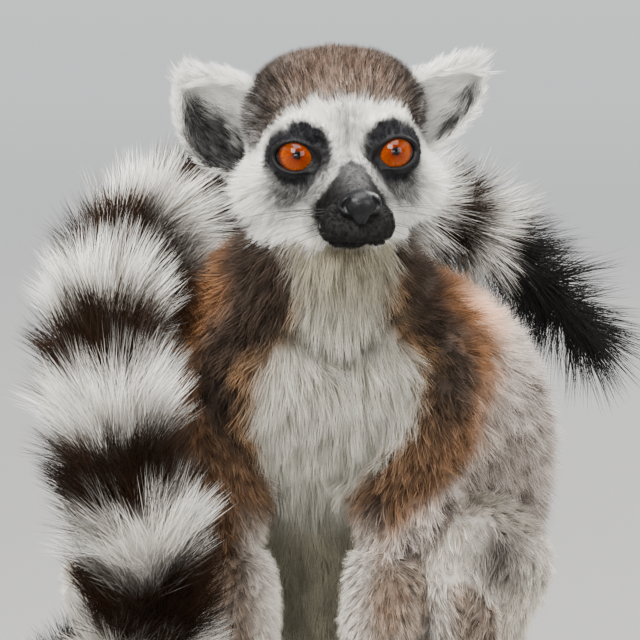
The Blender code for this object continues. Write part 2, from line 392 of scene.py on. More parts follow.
def nodeFinder(names):
    points, faces, owners = [], [], []
    for k, name in enumerate(names):
        mesh = nodes[name].data
        start = len(points)
        points += [v.co for v in mesh.vertices]
        faces += [[i + start for i in p.vertices] for p in mesh.polygons]
        owners += [k] * len(mesh.polygons)
    return BVHTree.FromPolygons(points, faces), np.array(owners)


def ownersOf(places, names):
    tree, owners = nodeFinder(names)
    return np.array([owners[tree.find_nearest(Vector(p))[2]] for p in places])


def kindsAt(places):
    return np.array([kindOf(n) for n in fleshNames])[ownersOf(places, fleshNames)]


def on(*parts):
    # which points of the skin lie on these parts
    return np.isin(kinds, parts)


def spreadOver(mesh, count):
    # points scattered evenly over a mesh's triangles
    mesh.calc_loop_triangles()
    triangles = np.array([t.vertices for t in mesh.loop_triangles])
    corners = readPoints(mesh)[triangles]
    area = np.linalg.norm(np.cross(corners[:, 1] - corners[:, 0], corners[:, 2] - corners[:, 0]), axis=1)
    chosen = corners[rng.choice(len(area), count, p=area / area.sum())]
    u, v = rng.random((2, count))
    flip = u + v > 1
    u[flip], v[flip] = 1 - u[flip], 1 - v[flip]
    return chosen[:, 0] + u[:, None] * (chosen[:, 1] - chosen[:, 0]) + v[:, None] * (chosen[:, 2] - chosen[:, 0])


def runOf(line):
    return np.concatenate([[0], np.cumsum(np.linalg.norm(np.diff(line, axis=0), axis=1))])


def evenSteps(line, count):
    run = runOf(line)
    wanted = np.linspace(0, run[-1], count)
    return np.stack([np.interp(wanted, run, line[:, k]) for k in range(3)], axis=1)


def rounded(line, rounds):
    line = line.copy()
    for _ in range(rounds):
        line[1:-1] = 0.25 * line[:-2] + 0.5 * line[1:-1] + 0.25 * line[2:]
    return line


def middleLine(names, knots):
    # a line through the middle of a chain of solids, drawn towards the mean of the surface points round it
    cloud = np.concatenate([spreadOver(nodes[n].data, 2500) for n in names])
    line = np.array([middleOf(n) for n in names])
    line = np.concatenate([[1.5 * line[0] - 0.5 * line[1]], line, [1.6 * line[-1] - 0.6 * line[-2]]])
    for _ in range(14):
        line = evenSteps(line, knots)
        nearest = np.argmin(((cloud[:, None] - line[None]) ** 2).sum(axis=2), axis=1)
        for k in range(1, knots - 1):
            if (nearest == k).any():
                line[k] = cloud[nearest == k].mean(axis=0)
        line = rounded(line, 3)
    # the ends reach as far as the solids do
    for end, inner in ((0, 2), (-1, -3)):
        outward = unit(line[end] - line[inner])
        line[end] += outward * max(0, ((cloud[nearest == (end % knots)] - line[end]) @ outward).max())
    line = evenSteps(line, knots)
    nearest = np.argmin(((cloud[:, None] - line[None]) ** 2).sum(axis=2), axis=1)
    away = np.linalg.norm(cloud - line[nearest], axis=1)
    girth = np.array([np.percentile(away[nearest == k], 70) if (nearest == k).any() else 0 for k in range(knots)])
    return line, girth


coarseLine, coarseGirth = middleLine(tailNames, 36)
tailStations = 240
# it starts deep in the rump and stops short of its last hairs
lastHairs = 27 * mm
intoRump = middleOf("trunk") * [1, 1, 0] + np.array([0, 0, 0.045])
coarseLine = np.concatenate([[intoRump, middleOf("tail_1") * 0.35 + intoRump * 0.65], coarseLine[3:]])
coarseGirth = coarseGirth[1:]
coarseRun = runOf(coarseLine)
ended = coarseRun < coarseRun[-1] - lastHairs
coarseLine, coarseGirth = coarseLine[ended], coarseGirth[ended]
tailLine = rounded(evenSteps(coarseLine, tailStations), 24)
tailGirth = np.interp(np.linspace(0, 1, tailStations), np.linspace(0, 1, len(coarseGirth)), rounded(coarseGirth, 4))
tailRun = runOf(tailLine)
report(f"the tail is {tailRun[-1]:.3f} m long and {2 * tailGirth.max():.3f} m thick")


def framesOf(line):
    # a direction along the line, and a pair across it that never twist
    along = unit(np.gradient(line, axis=0))
    side = unit(np.cross(along[0], worldUp if abs(along[0, 2]) < 0.9 else [0, 1.0, 0]))
    sides = []
    for direction in along:
        side = unit(side - direction * side.dot(direction))
        sides.append(side)
    sides = np.array(sides)
    return along, sides, np.cross(along, sides)


_, tailSide, tailAcross = framesOf(tailLine)


def tailTube(sides, radii):
    turns = 2 * np.pi * np.arange(sides)[None, :, None] / sides
    outward = np.cos(turns) * tailSide[:, None] + np.sin(turns) * tailAcross[:, None]
    rings = tailLine[:, None] + outward * radii[:, None, None]
    last = sides * (len(rings) - 1)
    faces = [list(range(sides))[::-1], [last + k for k in range(sides)]] + tubeFaces(sides, len(rings) - 1)
    return rings.reshape(-1, 3), faces


# the body and limbs, first a little swollen so that neighbours run together, then drawn in by the coat's depth
swell = {name: skin["fineSwell" if kindOf(name) in ("hand", "foot") else "swell"] for name in bodyNames}
bodyShells = [nodeShell(n, swell[n]) for n in bodyNames]
bodyMesh = modified(joinedMesh("body", bodyShells), "REMESH", mode="VOXEL", voxel_size=skin["voxel"])
points, edges = readPoints(bodyMesh), edgesOf(bodyMesh)
owner = ownersOf(points, bodyNames)
depth = np.array([coatDepth[kindOf(n)] * mm + swell[n] for n in bodyNames])[owner]
depth = softened(depth, edges, 14)
fine = np.clip(depth / mm / 6, 0.06, 1)[:, None]  # fingers and toes keep their shape, the trunk loses its facets
for _ in range(skin["smoothing"]):  # in and out again, so that it loses its facets and not its bulk
    points += fine * (softened(points, edges, 1) - points)
    points -= fine * 1.04 * (softened(points, edges, 1) - points)
writePoints(bodyMesh, points)
for _ in range(skin["steps"]):  # in steps, so that folds have time to open
    points = readPoints(bodyMesh) - readNormals(bodyMesh) * depth[:, None] / skin["steps"]
    points += fine * (softened(points, edges, 3) - points)
    writePoints(bodyMesh, points)
report(f"body drawn in, {len(points)} points")

headPoints, headFaces = surfaceOf(headForm, (-38, -38, -38), (38.5, 64, 34), 1.0)
tailCore = tailTube(20, np.maximum(tailGirth - coatDepth["tail"] * mm, 2.2 * mm))
whole = joinedMesh("whole", [shellOf(bodyMesh), tailCore, (fromHead(headPoints), headFaces)])
skinMesh = modified(whole, "REMESH", mode="VOXEL", voxel_size=skin["voxel"])
points, edges = readPoints(skinMesh), edgesOf(skinMesh)
kinds = kindsAt(points)
roundOff = softened(np.where(on("hand", "foot"), 0.12, 1.0), edges, 6)[:, None]
for _ in range(4):
    points += roundOff * (softened(points, edges, 1) - points)
places = toHead(points)
throat = on("neck", "head", "ear") & (places[:, 1] > -5) & (places[:, 2] < -18)
throat = softened(throat * 1.0, edges, 8)[:, None]
for _ in range(50):
    points += throat * (softened(points, edges, 1, 0.8) - points)
writePoints(skinMesh, points)
report(f"skin joined, {len(skinMesh.vertices)} points")


def thinned(mesh, weights, ratio):
    # fewer triangles where the weight is high
    obj = addPiece("work", mesh)
    group = obj.vertex_groups.new(name="thin")
    for level in np.unique(weights):
        group.add(np.nonzero(weights == level)[0].tolist(), float(level), "REPLACE")
    modifier = obj.modifiers.new("thin", "DECIMATE")
    modifier.ratio, modifier.vertex_group, modifier.vertex_group_factor = ratio, "thin", 10
    result = bakedMesh(obj)
    bpy.data.objects.remove(obj)
    return result


small = on("hand", "foot", "head", "ear") | (points[:, 2] > 0.19) & (points[:, 1] < -0.13)
skinMesh = thinned(skinMesh, np.where(small, 0.0, 1.0), skin["kept"])
report(f"skin thinned, {len(skinMesh.polygons)} triangles")


def coverOver(places, ways, limit):
    # how thick the solids are over each point, along its normal, where they end within the limit
    tree, _ = nodeFinder(fleshNames)
    cover = np.full(len(places), np.nan)
    step = 0.02 * mm
    for k, (start, way) in enumerate(zip(places, ways)):
        start, way, run = Vector(start), Vector(way), step
        while run < limit:
            hit, facing, _, far = tree.ray_cast(start + way * run, way, limit - run)
            if hit is None or facing.dot(way) < 0 and far > 0.7 * mm:
                break
            run += far + step
            if facing.dot(way) > 0 and tree.ray_cast(start + way * run, way, 0.7 * mm)[0] is None:
                cover[k] = run
                break
    return cover


# smoothing has shrunk the body, so it is filled out to the coat's depth again
points, edges = readPoints(skinMesh), edgesOf(skinMesh)
kinds = kindsAt(points)
wantedCover = softened(np.array([coatDepth[k] for k in kinds]) * mm, edges, 10)
places = toHead(points)
filled = on("trunk", "upper_arm", "forearm", "thigh", "shank") + 0.7 * on("neck")
filled = softened(filled * ease(-24, -34, places[:, 2] + 12 * ease(30, 60, places[:, 1])), edges, 6)
for _ in range(4):
    writePoints(skinMesh, points)
    ways = readNormals(skinMesh)
    cover = coverOver(points, ways, 32 * mm)
    known = softened(np.isfinite(cover) * 1.0, edges, 8)
    lack = softened(np.clip(np.nan_to_num(cover - wantedCover), -2 * mm, 13 * mm), edges, 8) / np.maximum(known, 0.15)
    points += ways * (lack * filled)[:, None]
    points += 0.7 * filled[:, None] * (softened(points, edges, 2) - points)
# the haunch is narrow below, and a fold crosses the throat; in mm
haunch = {"beyond": 58, "drawnIn": 0.35, "under": (86, 58), "above": (12, 25)}
throatFold = {"depth": 4.5, "width": 3.0, "middle": 11}
x, y, z = (points / mm).T
narrow = haunch["drawnIn"] * np.maximum(x - haunch["beyond"], 0) * ease(*haunch["under"], z) * ease(*haunch["above"], z)
points[:, 0] -= narrow * mm


def foldHeight(x):
    # the fold that runs down from each side of the throat to its middle, in mm
    return np.interp(x, [-16, 9.7, 38], [172, 156, 178])


x, y, z = (points / mm).T
fold = hump(z, foldHeight(x), throatFold["width"]) * ease(-60, -80, y) * ease(34, 26, np.abs(x - throatFold["middle"]))
writePoints(skinMesh, points)
points -= readNormals(skinMesh) * (throatFold["depth"] * mm * fold)[:, None]
writePoints(skinMesh, points)
report(f"body filled out, by {lack.mean() / mm:.2f} mm in the last round")


def refined(mesh, chosen, rounds):
    # splits the edges whose ends are both chosen; chosen is a function of the points
    form = bmesh.new()
    form.from_mesh(mesh)
    for k in range(rounds):
        picked = chosen(np.array([v.co for v in form.verts]), k)
        edges = [e for e in form.edges if picked[e.verts[0].index] and picked[e.verts[1].index]]
        bmesh.ops.subdivide_edges(form, edges=edges, cuts=1, use_grid_fill=True)
        form.verts.index_update()
    bmesh.ops.triangulate(form, faces=form.faces)
    form.to_mesh(mesh)
    form.free()
    return mesh


def facePart(points, k):
    p = toHead(points)
    aside = np.abs(p[:, 0])
    if k == 0:  # the whole face
        return (p[:, 1] < 22) & (p[:, 1] > -45) & (aside < 32) & (p[:, 2] > -34) & (p[:, 2] < 26)
    nearEye = (np.hypot(aside - eye["spread"], p[:, 2]) < 13) & (p[:, 1] < 14) & (p[:, 1] > -8)
    return nearEye | (p[:, 1] < -13) & (p[:, 1] > -45) & (aside < 20) & (np.abs(p[:, 2] + 14) < 18)


skinMesh = refined(skinMesh, facePart, 2)
points, edges = readPoints(skinMesh), edgesOf(skinMesh)
places = toHead(points)
nearHead = (np.abs(places[:, 0]) < 42) & (places[:, 1] > -46) & (places[:, 1] < 66) & (np.abs(places[:, 2]) < 40)
nearHead = np.nonzero(nearHead)[0]
inHead = np.zeros(len(points))
inHead[nearHead] = 1 - ease(2.5, 7, np.abs(headForm(places[nearHead])))
inHead *= 1 - ease(44, 58, places[:, 1])
inHead *= 1 - ease(-5, 5, places[:, 1]) * (1 - ease(-24, -14, places[:, 2]))
inHead = softened(inHead, edges, 3)
for turn in range(6):  # projected, then relaxed so that the triangles stay even
    moved = toHead(points)
    moved[nearHead], _ = projected(moved[nearHead], headForm, 3)
    moved = fromHead(moved)
    points += inHead[:, None] * (moved - points)
    if turn < 5:
        points += inHead[:, None] * (softened(points, edges, 1, 0.6) - points)
writePoints(skinMesh, points)
report(f"head shaped, {len(skinMesh.polygons)} triangles")


# the ears: leaf-shaped cups that open forwards, their roots sunk in the head
ear = {
    "base": (23, 31, 3.5), "tip": (48.5, 37, 21), "width": 13.0, "cup": 1.25, "thickness": 1.3,
    "forwards": (0.32, -0.95, 0.0), "columns": 25, "rows": 22,
}


def earPlaces(side, across, up, layer):
    # across runs from -1 (inner edge) to 1 (outer edge), up from 0 (root) to 1 (tip), layer 0 in front and 1 behind
    base, tip = np.array(ear["base"], dtype=float), np.array(ear["tip"], dtype=float)
    length = np.linalg.norm(tip - base)
    along = (tip - base) / length
    front = unit(np.array(ear["forwards"]) - along * along.dot(ear["forwards"]))
    sideways = np.cross(along, front)
    width = ear["width"] * np.clip(1 - np.maximum(up, 0) ** 3.2, 0, 1) ** 0.7 * (0.85 + 0.2 * ease(0, 0.35, up))
    width = width * (1 + (0.2 if side < 0 else -0.3) * np.maximum(across, 0))  # its left ear is turned away below
    turn = across * ear["cup"]
    reach = (1 - np.cos(turn)) * width * 0.9
    thick = ear["thickness"] * layer * (1 - 0.45 * np.abs(across) ** 3)
    sideReach = width * np.sin(turn) / math.sin(ear["cup"])
    frontReach = reach - width * 0.35 - thick + 1.5 * up**2
    place = base + along * (length * up)[..., None] + sideways * sideReach[..., None] + front * frontReach[..., None]
    place[..., 0] *= side
    return place


def earShell(side):
    columns, rows = ear["columns"], ear["rows"]
    across, up = np.meshgrid(np.linspace(-1, 1, columns), np.linspace(-0.15, 0.995, rows), indexing="ij")
    front = earPlaces(side, across, up, 0.0).reshape(-1, 3)
    back = earPlaces(side, across, up, 1.0).reshape(-1, 3)
    cell = np.arange(columns * rows).reshape(columns, rows)
    a, b, c, d = cell[:-1, :-1].ravel(), cell[1:, :-1].ravel(), cell[1:, 1:].ravel(), cell[:-1, 1:].ravel()
    quads = np.concatenate([np.stack([a, b, c, d], 1), np.stack([a, d, c, b], 1) + columns * rows])
    rim = np.concatenate([cell[:, 0], cell[-1, 1:], cell[-2::-1, -1], cell[0, -2:0:-1]])
    nextRim = np.roll(rim, -1)
    quads = np.concatenate([quads, np.stack([nextRim, rim, rim + columns * rows, nextRim + columns * rows], 1)])
    if side < 0:
        quads = quads[:, ::-1]
    own = np.stack([np.tile(across.ravel(), 2), np.tile(up.ravel(), 2), np.repeat([0.0, 1.0], columns * rows)], axis=1)
    return fromHead(np.concatenate([front, back])), quads.tolist(), own


# the nose: a moist pad with comma-shaped nostrils
nose = {
    "forms": ((ovalForm, 0, (0, -33.2, -13.2), (5.8, 5.2, 4.4)),  # pad
              (ovalForm, 1.6, (4.3, -32.4, -13.8), (2.6, 3.8, 3.4)),  # wing
              (ovalForm, 1.4, (0, -34, -17.2), (2.6, 3.0, 3.2))),  # septum
    "nostril": ((taperForm, 0, (4.1, -36.4, -11.9), (5.2, -35.6, -14.0), 0.75, 1.05),
                (taperForm, 0.3, (5.2, -35.6, -14.0), (4.3, -36.4, -16.4), 1.05, 0.6)),
    "groove": 0.45, "cell": 0.32,
}


def noseForm(p):
    q = p.copy()
    q[:, 0] = np.abs(q[:, 0])
    d = carved(joinedForms(q, nose["forms"]), joinedForms(q, nose["nostril"]), 0.5)
    return d + nose["groove"] * hump(q[:, 0], 0, nose["groove"]) * (1 - ease(-14.5, -13, q[:, 2]))


nosePoints, noseFaces = surfaceOf(noseForm, (-9, -42, -23), (9.1, -26, -7), nose["cell"])
nosePoints, _ = projected(nosePoints, noseForm, 3, 0.3)
nosePad = newMesh("nosePad", fromHead(nosePoints), noseFaces)


# the eyes: balls with a domed cornea, turned to look ahead
eyeBall = {"dome": 0.9, "domeEdge": 40.0, "outward": 3.0, "upward": 3.0, "rings": 96, "spokes": 96}


def eyeShell(side):
    # rings round the line of sight; each point knows how far it is from the pupil and at which turn
    centre = np.array([side * eye["spread"], eye["behindCornea"], 0])
    yaw, pitch = math.radians(eyeBall["outward"]) * side, math.radians(eyeBall["upward"])
    ahead = np.array([math.sin(yaw) * math.cos(pitch), -math.cos(yaw) * math.cos(pitch), math.sin(pitch)])
    right = unit(np.cross(ahead, [0, 0, 1.0]))
    up = np.cross(right, ahead)
    rings, spokes = eyeBall["rings"], eyeBall["spokes"]
    away = np.linspace(0, math.pi, rings + 1)[1:-1, None]
    turn = np.linspace(0, 2 * math.pi, spokes, endpoint=False)[None, :]
    dome = eyeBall["dome"] * (1 - ease(0, math.radians(eyeBall["domeEdge"]), away))
    far = eye["radius"] + dome
    ring = far[..., None] * (np.cos(away)[..., None] * ahead + np.sin(away)[..., None] * (
        np.cos(turn)[..., None] * right + np.sin(turn)[..., None] * up))
    poles = [[ahead * (eye["radius"] + eyeBall["dome"])], [-ahead * eye["radius"]]]
    points = np.concatenate([ring.reshape(-1, 3), *poles])
    cell = np.arange((rings - 1) * spokes).reshape(rings - 1, spokes)
    nextCell = np.roll(cell, -1, axis=1)
    faces = np.stack([cell[:-1].ravel(), cell[1:].ravel(), nextCell[1:].ravel(), nextCell[:-1].ravel()], 1).tolist()
    pole = (rings - 1) * spokes
    faces += [[pole, cell[0, k], nextCell[0, k]] for k in range(spokes)]
    faces += [[pole + 1, nextCell[-1, k], cell[-1, k]] for k in range(spokes)]
    awayAll = np.concatenate([np.repeat(away.ravel(), spokes), [0, math.pi]])
    turnAll = np.concatenate([np.tile(turn.ravel(), rings - 1), [0, 0]])
    return points + centre, faces, awayAll, turnAll


def outwards(mesh):
    form = bmesh.new()
    form.from_mesh(mesh)
    bmesh.ops.recalc_face_normals(form, faces=form.faces)
    form.to_mesh(mesh)
    form.free()
    mesh.update()
    return mesh


eyeMeshes = {}
for side, name in ((1, "eye_left"), (-1, "eye_right")):
    ballPoints, ballFaces, ballAway, ballTurn = eyeShell(side)
    mesh = outwards(newMesh(name, fromHead(ballPoints), ballFaces))
    setAttribute(mesh, "fromPupil", "FLOAT", np.degrees(ballAway))
    # how strongly the upper lid's painted shadow darkens the iris, strongest at its top
    setAttribute(mesh, "upperLidShadow", "FLOAT", ease(0.1, 0.85, np.sin(ballTurn) * np.degrees(ballAway) / 33))
    setAttribute(mesh, "roundPupil", "FLOAT_VECTOR", np.stack([np.cos(ballTurn), np.sin(ballTurn), ballAway], 1))
    mesh.shade_smooth()
    eyeMeshes[name] = mesh
outwards(nosePad).shade_smooth()
report("ears, nose and eyes made")

# everything of flesh is one mesh from here on
leftEar, rightEar = earShell(1), earShell(-1)
bareHead = shellOf(skinMesh)
skinMesh = joinedMesh("skin", [bareHead, leftEar[:2], rightEar[:2]])
skinMesh.shade_smooth()
points, normals, edges = readPoints(skinMesh), readNormals(skinMesh), edgesOf(skinMesh)
earOwn = np.full((len(points), 3), -9.0)
earOwn[len(bareHead[0]):] = np.concatenate([leftEar[2], rightEar[2]])
isEar = earOwn[:, 0] > -5
owner = ownersOf(points, fleshNames)
names = np.array(fleshNames)[owner]
kinds = np.array([kindOf(n) for n in names])
places = toHead(points)
kinds[isEar] = "ear"
kinds[(kinds == "ear") & ~isEar] = "head"
kinds[(kinds == "head") & (places[:, 1] > 50) & (places[:, 2] < -8)] = "neck"
leftSide = np.array([n.endswith("left") for n in names])


def nearestOn(line, where):
    found = np.empty(len(where), dtype=int)
    for start in range(0, len(where), 20000):
        part = where[start:start + 20000]
        found[start:start + 20000] = np.argmin(((part[:, None] - line[None]) ** 2).sum(axis=2), axis=1)
    return found


def limbLine(*parts):
    middles = np.array([middleOf(n) for n in parts])
    middles = np.concatenate([[middles[0] * 1.7 - middles[1] * 0.7], middles, [middles[-1] * 1.5 - middles[-2] * 0.5]])
    return rounded(evenSteps(middles, 60), 12)


limbs = {"arm": ("upper_arm", "forearm", "hand"), "leg": ("thigh", "shank", "foot")}
lines = {"tail": tailLine, "trunk": limbLine("head", "neck", "trunk")}
for hand in ("left", "right"):
    for limb, parts in limbs.items():
        lines[f"{limb}_{hand}"] = limbLine(*(f"{part}_{hand}" for part in parts))
lines["head"] = fromHead(evenSteps(np.array([(0, -40, -14), (0, 0, -6), (0, 30, 2), (0, 66, 6)], dtype=float), 60))

# each point's line, how far along it lies and at which turn round it, both from 0 to 1
lineOf = np.full(len(points), "trunk", dtype="<U12")
for hand, isHand in (("left", leftSide), ("right", ~leftSide)):
    for limb, parts in limbs.items():
        lineOf[on(*parts) & isHand] = f"{limb}_{hand}"
lineOf[on("tail")] = "tail"
lineOf[on("head", "ear")] = "head"
share, turn, flow = np.zeros(len(points)), np.zeros(len(points)), np.zeros_like(points)
for name, line in lines.items():
    mine = np.nonzero(lineOf == name)[0]
    along, side, across = framesOf(line)
    station = nearestOn(line, points[mine])
    out = points[mine] - line[station]
    past = np.clip((out * along[station]).sum(axis=1) / np.linalg.norm(line[1] - line[0]), -0.5, 0.5)
    share[mine] = (station + past) / len(line)
    turned = np.arctan2((out * across[station]).sum(axis=1), (out * side[station]).sum(axis=1))
    turn[mine] = turned / (2 * np.pi) + 0.5
    flow[mine] = along[station]
report("every point of the skin has its place on a line")


def wander(scale, seed, stretch=(1, 1, 1)):
    # a smooth random field over the body, about -1 to 1, with features of the given size in mm
    draw = np.random.default_rng(seed)
    total = np.zeros(len(points))
    for _ in range(7):
        wave = draw.normal(size=3) / stretch
        wave = wave / np.linalg.norm(wave)
        total += np.sin(points @ wave * 2 * np.pi / (scale * mm * draw.uniform(0.7, 1.5)) + draw.uniform(0, 6.3))
    return total / 3


# how the coat lies on each part: length in mm, lift from the skin in degrees, tuft width in mm, tufts in a square cm
coat = {
    "trunk": (9.5, 46, 1.75, 18.5), "neck": (10, 46, 1.6, 21), "head": (9, 28, 1.1, 70), "ear": (8, 30, 1.1, 90),
    "upper_arm": (8, 42, 1.55, 28), "forearm": (6.5, 38, 1.2, 38), "hand": (3.2, 16, 1.0, 50),
    "thigh": (8, 32, 1.6, 16.5), "shank": (6, 30, 1.4, 21), "foot": (3.2, 16, 1.0, 44), "tail": (25, 35, 2.1, 15),
}
length, lift, width, density = np.array([coat[k] for k in kinds], dtype=float).T.copy()
x, y, z = (points / mm).T
hx, hy, hz = places.T
aside = np.abs(hx)
seen = hz + 0.087 * hy  # height on the face as it shows from in front
isHead, isTail, chest, thigh, upperArm = on("head"), on("tail"), on("trunk", "neck"), on("thigh"), on("upper_arm")

# directions: from the nose back over the head, round the eyes, down the chest, along the limbs and the tail
noseTip = np.array([0, -38.0, -15.0])
fromNose = unit(places - noseTip)
fromNose[:, 2] -= 0.45 * ease(12, 26, aside) * ease(2, -14, hz) + 0.5 * ease(-14, -26, hz)
outOfEye = np.stack([hx - np.sign(hx) * eye["spread"], np.zeros(len(points)), hz + 1.0], axis=1)
ringed = ease(17, 9, np.linalg.norm(outOfEye, axis=1)) * ease(20, 12, hy) * ease(-14, -6, hy)
headFlow = unit(fromNose * (1 - 0.8 * ringed)[:, None] + unit(outOfEye) * (0.9 * ringed)[:, None])
headFlow = headFlow @ headAxes
flow[isHead] = headFlow[isHead]
flow[chest] = unit(flow[chest] * 0.4 + np.array([0, 0, -1.0]) + normals[chest] * [0.2, 0.0, 0.0])
flow[thigh] = unit(flow[thigh] * 0.5 + np.array([0, 0.35, -1.0]))
overKnee = (on("thigh", "shank") * ease(62, 84, z) * ease(-35, -70, y))[:, None]
flow = unit(flow * (1 - overKnee) + np.array([0.1, -0.75, -0.65]) * overKnee)
flow[upperArm] = unit(flow[upperArm] + normals[upperArm] * [0.4, 0, 0])
earBase = isHead * np.exp(-(((aside - ear["base"][0]) / 7) ** 2) - ((hy - ear["base"][1] + 4) / 9) ** 2
                          - ((hz - ear["base"][2] - 3) / 9) ** 2)
overEar = 0.7 * earBase[:, None]
flow = unit(flow * (1 - overEar) + overEar * (np.sign(hx)[:, None] * headX + 0.5 * headZ - 0.3 * headY))


def earPoint(end, sign):
    return fromHead([(sign * ear[end][0],) + ear[end][1:]])[0]


for sign in (1, -1):
    mine = isEar & (np.sign(hx) == sign)
    outward = unit(earPoint("tip", sign) - earPoint("base", sign))
    inside = (earOwn[mine, 2] < 0.5)[:, None]
    upwards = headZ * (0.2 + 1.3 * ease(0.4, 0.9, earOwn[mine, 1]))[:, None]
    flow[mine] = outward + np.where(inside, headX * sign * 0.3 + upwards, upwards)
flow = softened(flow, edges, 10) * ~isEar[:, None] + flow * isEar[:, None]
flow = unit(flow - normals * (flow * normals).sum(axis=1, keepdims=True))

# lengths on the head grow from the nose and the eyes towards the crown and the cheeks; in mm, lifts in degrees
headHair = {"atEye": 2.0, "face": 7.0, "atNose": 1.3, "muzzle": 6.0, "cheek": 2.0, "throat": 1.5, "ruff": 3.0,
            "crown": -2.6, "jaw": -3.0, "earRoot": 5.5, "lift": 6, "crownLift": 42, "ruffLift": 12, "earRootLift": 16}
eyeGap = np.hypot(aside - eye["spread"], seen - 1.5)
faceLength = headHair["atEye"] + headHair["face"] * ease(8.5, 26, eyeGap)
muzzleLength = headHair["atNose"] + headHair["muzzle"] * ease(-20, 16, hy)
headLength = np.minimum(faceLength, muzzleLength)
headLength += headHair["cheek"] * ease(15, 24, aside) * ease(2, -10, hz) * ease(4, 14, hy)
headLength += headHair["throat"] * ease(-18, -27, hz) * ease(-12, 6, hy)
ruff = ease(17, 23, aside) * ease(10, 20, hy) * ease(0, -8, hz) * ease(-25, -17, hz)
headLength += headHair["ruff"] * ruff
crowned = np.maximum(ease(6, 16, hz), ease(15, 22, aside) * ease(-14, 0, hz)) * ease(6, 18, hy)
headLength += headHair["crown"] * crowned
headLength += headHair["jaw"] * ease(-16, -21, hz) * ease(8, 14, aside) * ease(-4, 4, hy)
length = np.where(isHead, headLength + headHair["earRoot"] * earBase, length)
shortness = np.clip(length / 9, 0.22, 1.5)
width = np.where(isHead, 0.5 + (0.8 + 0.3 * crowned) * np.clip(length / 9, 0, 1.6), width)
density = np.where(isHead, np.clip((54 + 2 * crowned) / shortness**1.2, 36, 160), density)
headLift = headHair["lift"] + 11 * ease(-22, -4, hy) + headHair["earRootLift"] * earBase
headLift = headLift + 12 * np.clip(length / 9, 0, 1.5) + headHair["crownLift"] * crowned
headLift = headLift + 8 * ease(16, 22, aside) * ease(2, -6, hz) + headHair["ruffLift"] * ruff
lift = np.where(isHead, headLift, lift)

# ears: long over the back and rim, sparse long hairs across the inside
earHair = {"back": (7.5, 36, 1.4), "front": (7.0, 24, 1.1), "tuft": 4.5, "outer": -2.5}  # length, lift and width
acrossEar, upEar, layerEar = earOwn.T
earBack, earFront = isEar & (layerEar > 0.5), isEar & (layerEar < 0.5)
rimEar = np.maximum(ease(0.75, 1.0, np.abs(acrossEar)), ease(0.75, 1.0, upEar)) * isEar
earTuft = earHair["tuft"] * ease(0.5, 1, upEar) * ease(0.3, -0.6, acrossEar)
earTuft = earTuft + earHair["outer"] * ease(0.2, 0.8, acrossEar)
for part, (earLength, earLift, earWidth) in ((earBack, earHair["back"]), (earFront, earHair["front"])):
    length = np.where(part, earLength + earTuft, length)
    lift, width = np.where(part, earLift, lift), np.where(part, earWidth, width)

# the tail's hair is longest at its end, which is a black wisp
tailHair = {"length": 20, "middle": 3, "end": 6.5, "lift": 46, "endLift": 8, "wispLift": -40, "thicker": 0.9}
tailShare = np.where(isTail, share, 0)
tailLength = tailHair["length"] + tailHair["middle"] * ease(0.3, 0.7, tailShare)
tailLength = tailLength + tailHair["end"] * ease(0.85, 0.98, tailShare)
tailLift = tailHair["lift"] + tailHair["endLift"] * ease(0.72, 0.82, tailShare)
tailLift = tailLift + tailHair["wispLift"] * ease(0.965, 1, tailShare)
length, lift = np.where(isTail, tailLength, length), np.where(isTail, tailLift, lift)
density = np.where(isTail, density * (0.85 + tailHair["thicker"] * ease(0.7, 0.8, tailShare)), density)

markings = {  # edges in mm: by height for the trunk, by distance from the middle for the cap, by height on the face
    "bibMiddle": ((100, 115, 130, 150), (1, 3, 7, 10)),
    "bibEdge": ((97, 106, 115, 124, 134, 146, 158, 166, 172, 182, 192, 204, 216, 232),
                (4, 12, 17.5, 20, 23, 26, 25, 17, 12, 12.5, 14, 17, 23, 34)),
    "tanEdge": ((112, 128, 140, 172, 190), (0, 5, 7, 7, 1)), "darkWidth": ((110, 150, 180, 215), (12, 13, 17, 20)),
    "leftEdge": ((105, 116, 129, 138, 148, 157, 166, 185, 197), (17, 21, 25, 21, 20, 24, 29, 25, 16)),
    "rightEdge": 42, "salmonWidth": 12,
    "capEdge": ((0, 8, 16, 22, 27, 31), (17.5, 17, 14.5, 10.5, 4, -7)),
    "muzzle": ((-34, -29.5, -28, -25.1, -19.2, -14.8, -11.8, -8.1, -4.4, -2.6),
               (8, 9.8, 11, 12.4, 12.0, 10.7, 8.3, 5.9, 3.5, 0)),
}
# the bib's hairs are longer and hang, and they shorten in the fold across the throat
bibHair = {"longer": 2.5, "lower": 4, "inFold": -5, "lift": -16, "wider": 0.1}
bibMiddle = np.interp(z, *markings["bibMiddle"])
bibEdge = np.interp(z, *markings["bibEdge"]) + 1.5 * wander(14, 3)
beyond = np.abs(x - bibMiddle) - bibEdge
facing = ease(-20, -48, y) * ease(0.55, -0.1, normals[:, 1])
isBib = chest * facing * ease(3, -2, beyond)
crease = facing * ease(11, 3, beyond) * (0.55 + 0.45 * ease(7, 14, np.abs(x - 9.7)))
folded = crease * hump(z, foldHeight(x) + 2, 4.0)
length += isBib * (bibHair["longer"] + bibHair["lower"] * ease(165, 140, z)) + bibHair["inFold"] * folded
lift += isBib * bibHair["lift"]
width += isBib * bibHair["wider"]
loose = (on("trunk", "neck", "upper_arm") + 0.4 * thigh) * (1 - 0.8 * isBib) * 1.5 + 1
loose += 0.8 * isTail - 0.4 * isHead * crowned
under = ease(-0.45, -0.8, normals[:, 2]) * ~isHead * ~isTail * ease(60, 30, z)
length = np.where(isTail, length, length * (1 - 0.6 * under))
density *= 1 - 0.6 * under
density *= 1 - 0.5 * chest * ease(-45, -25, y)

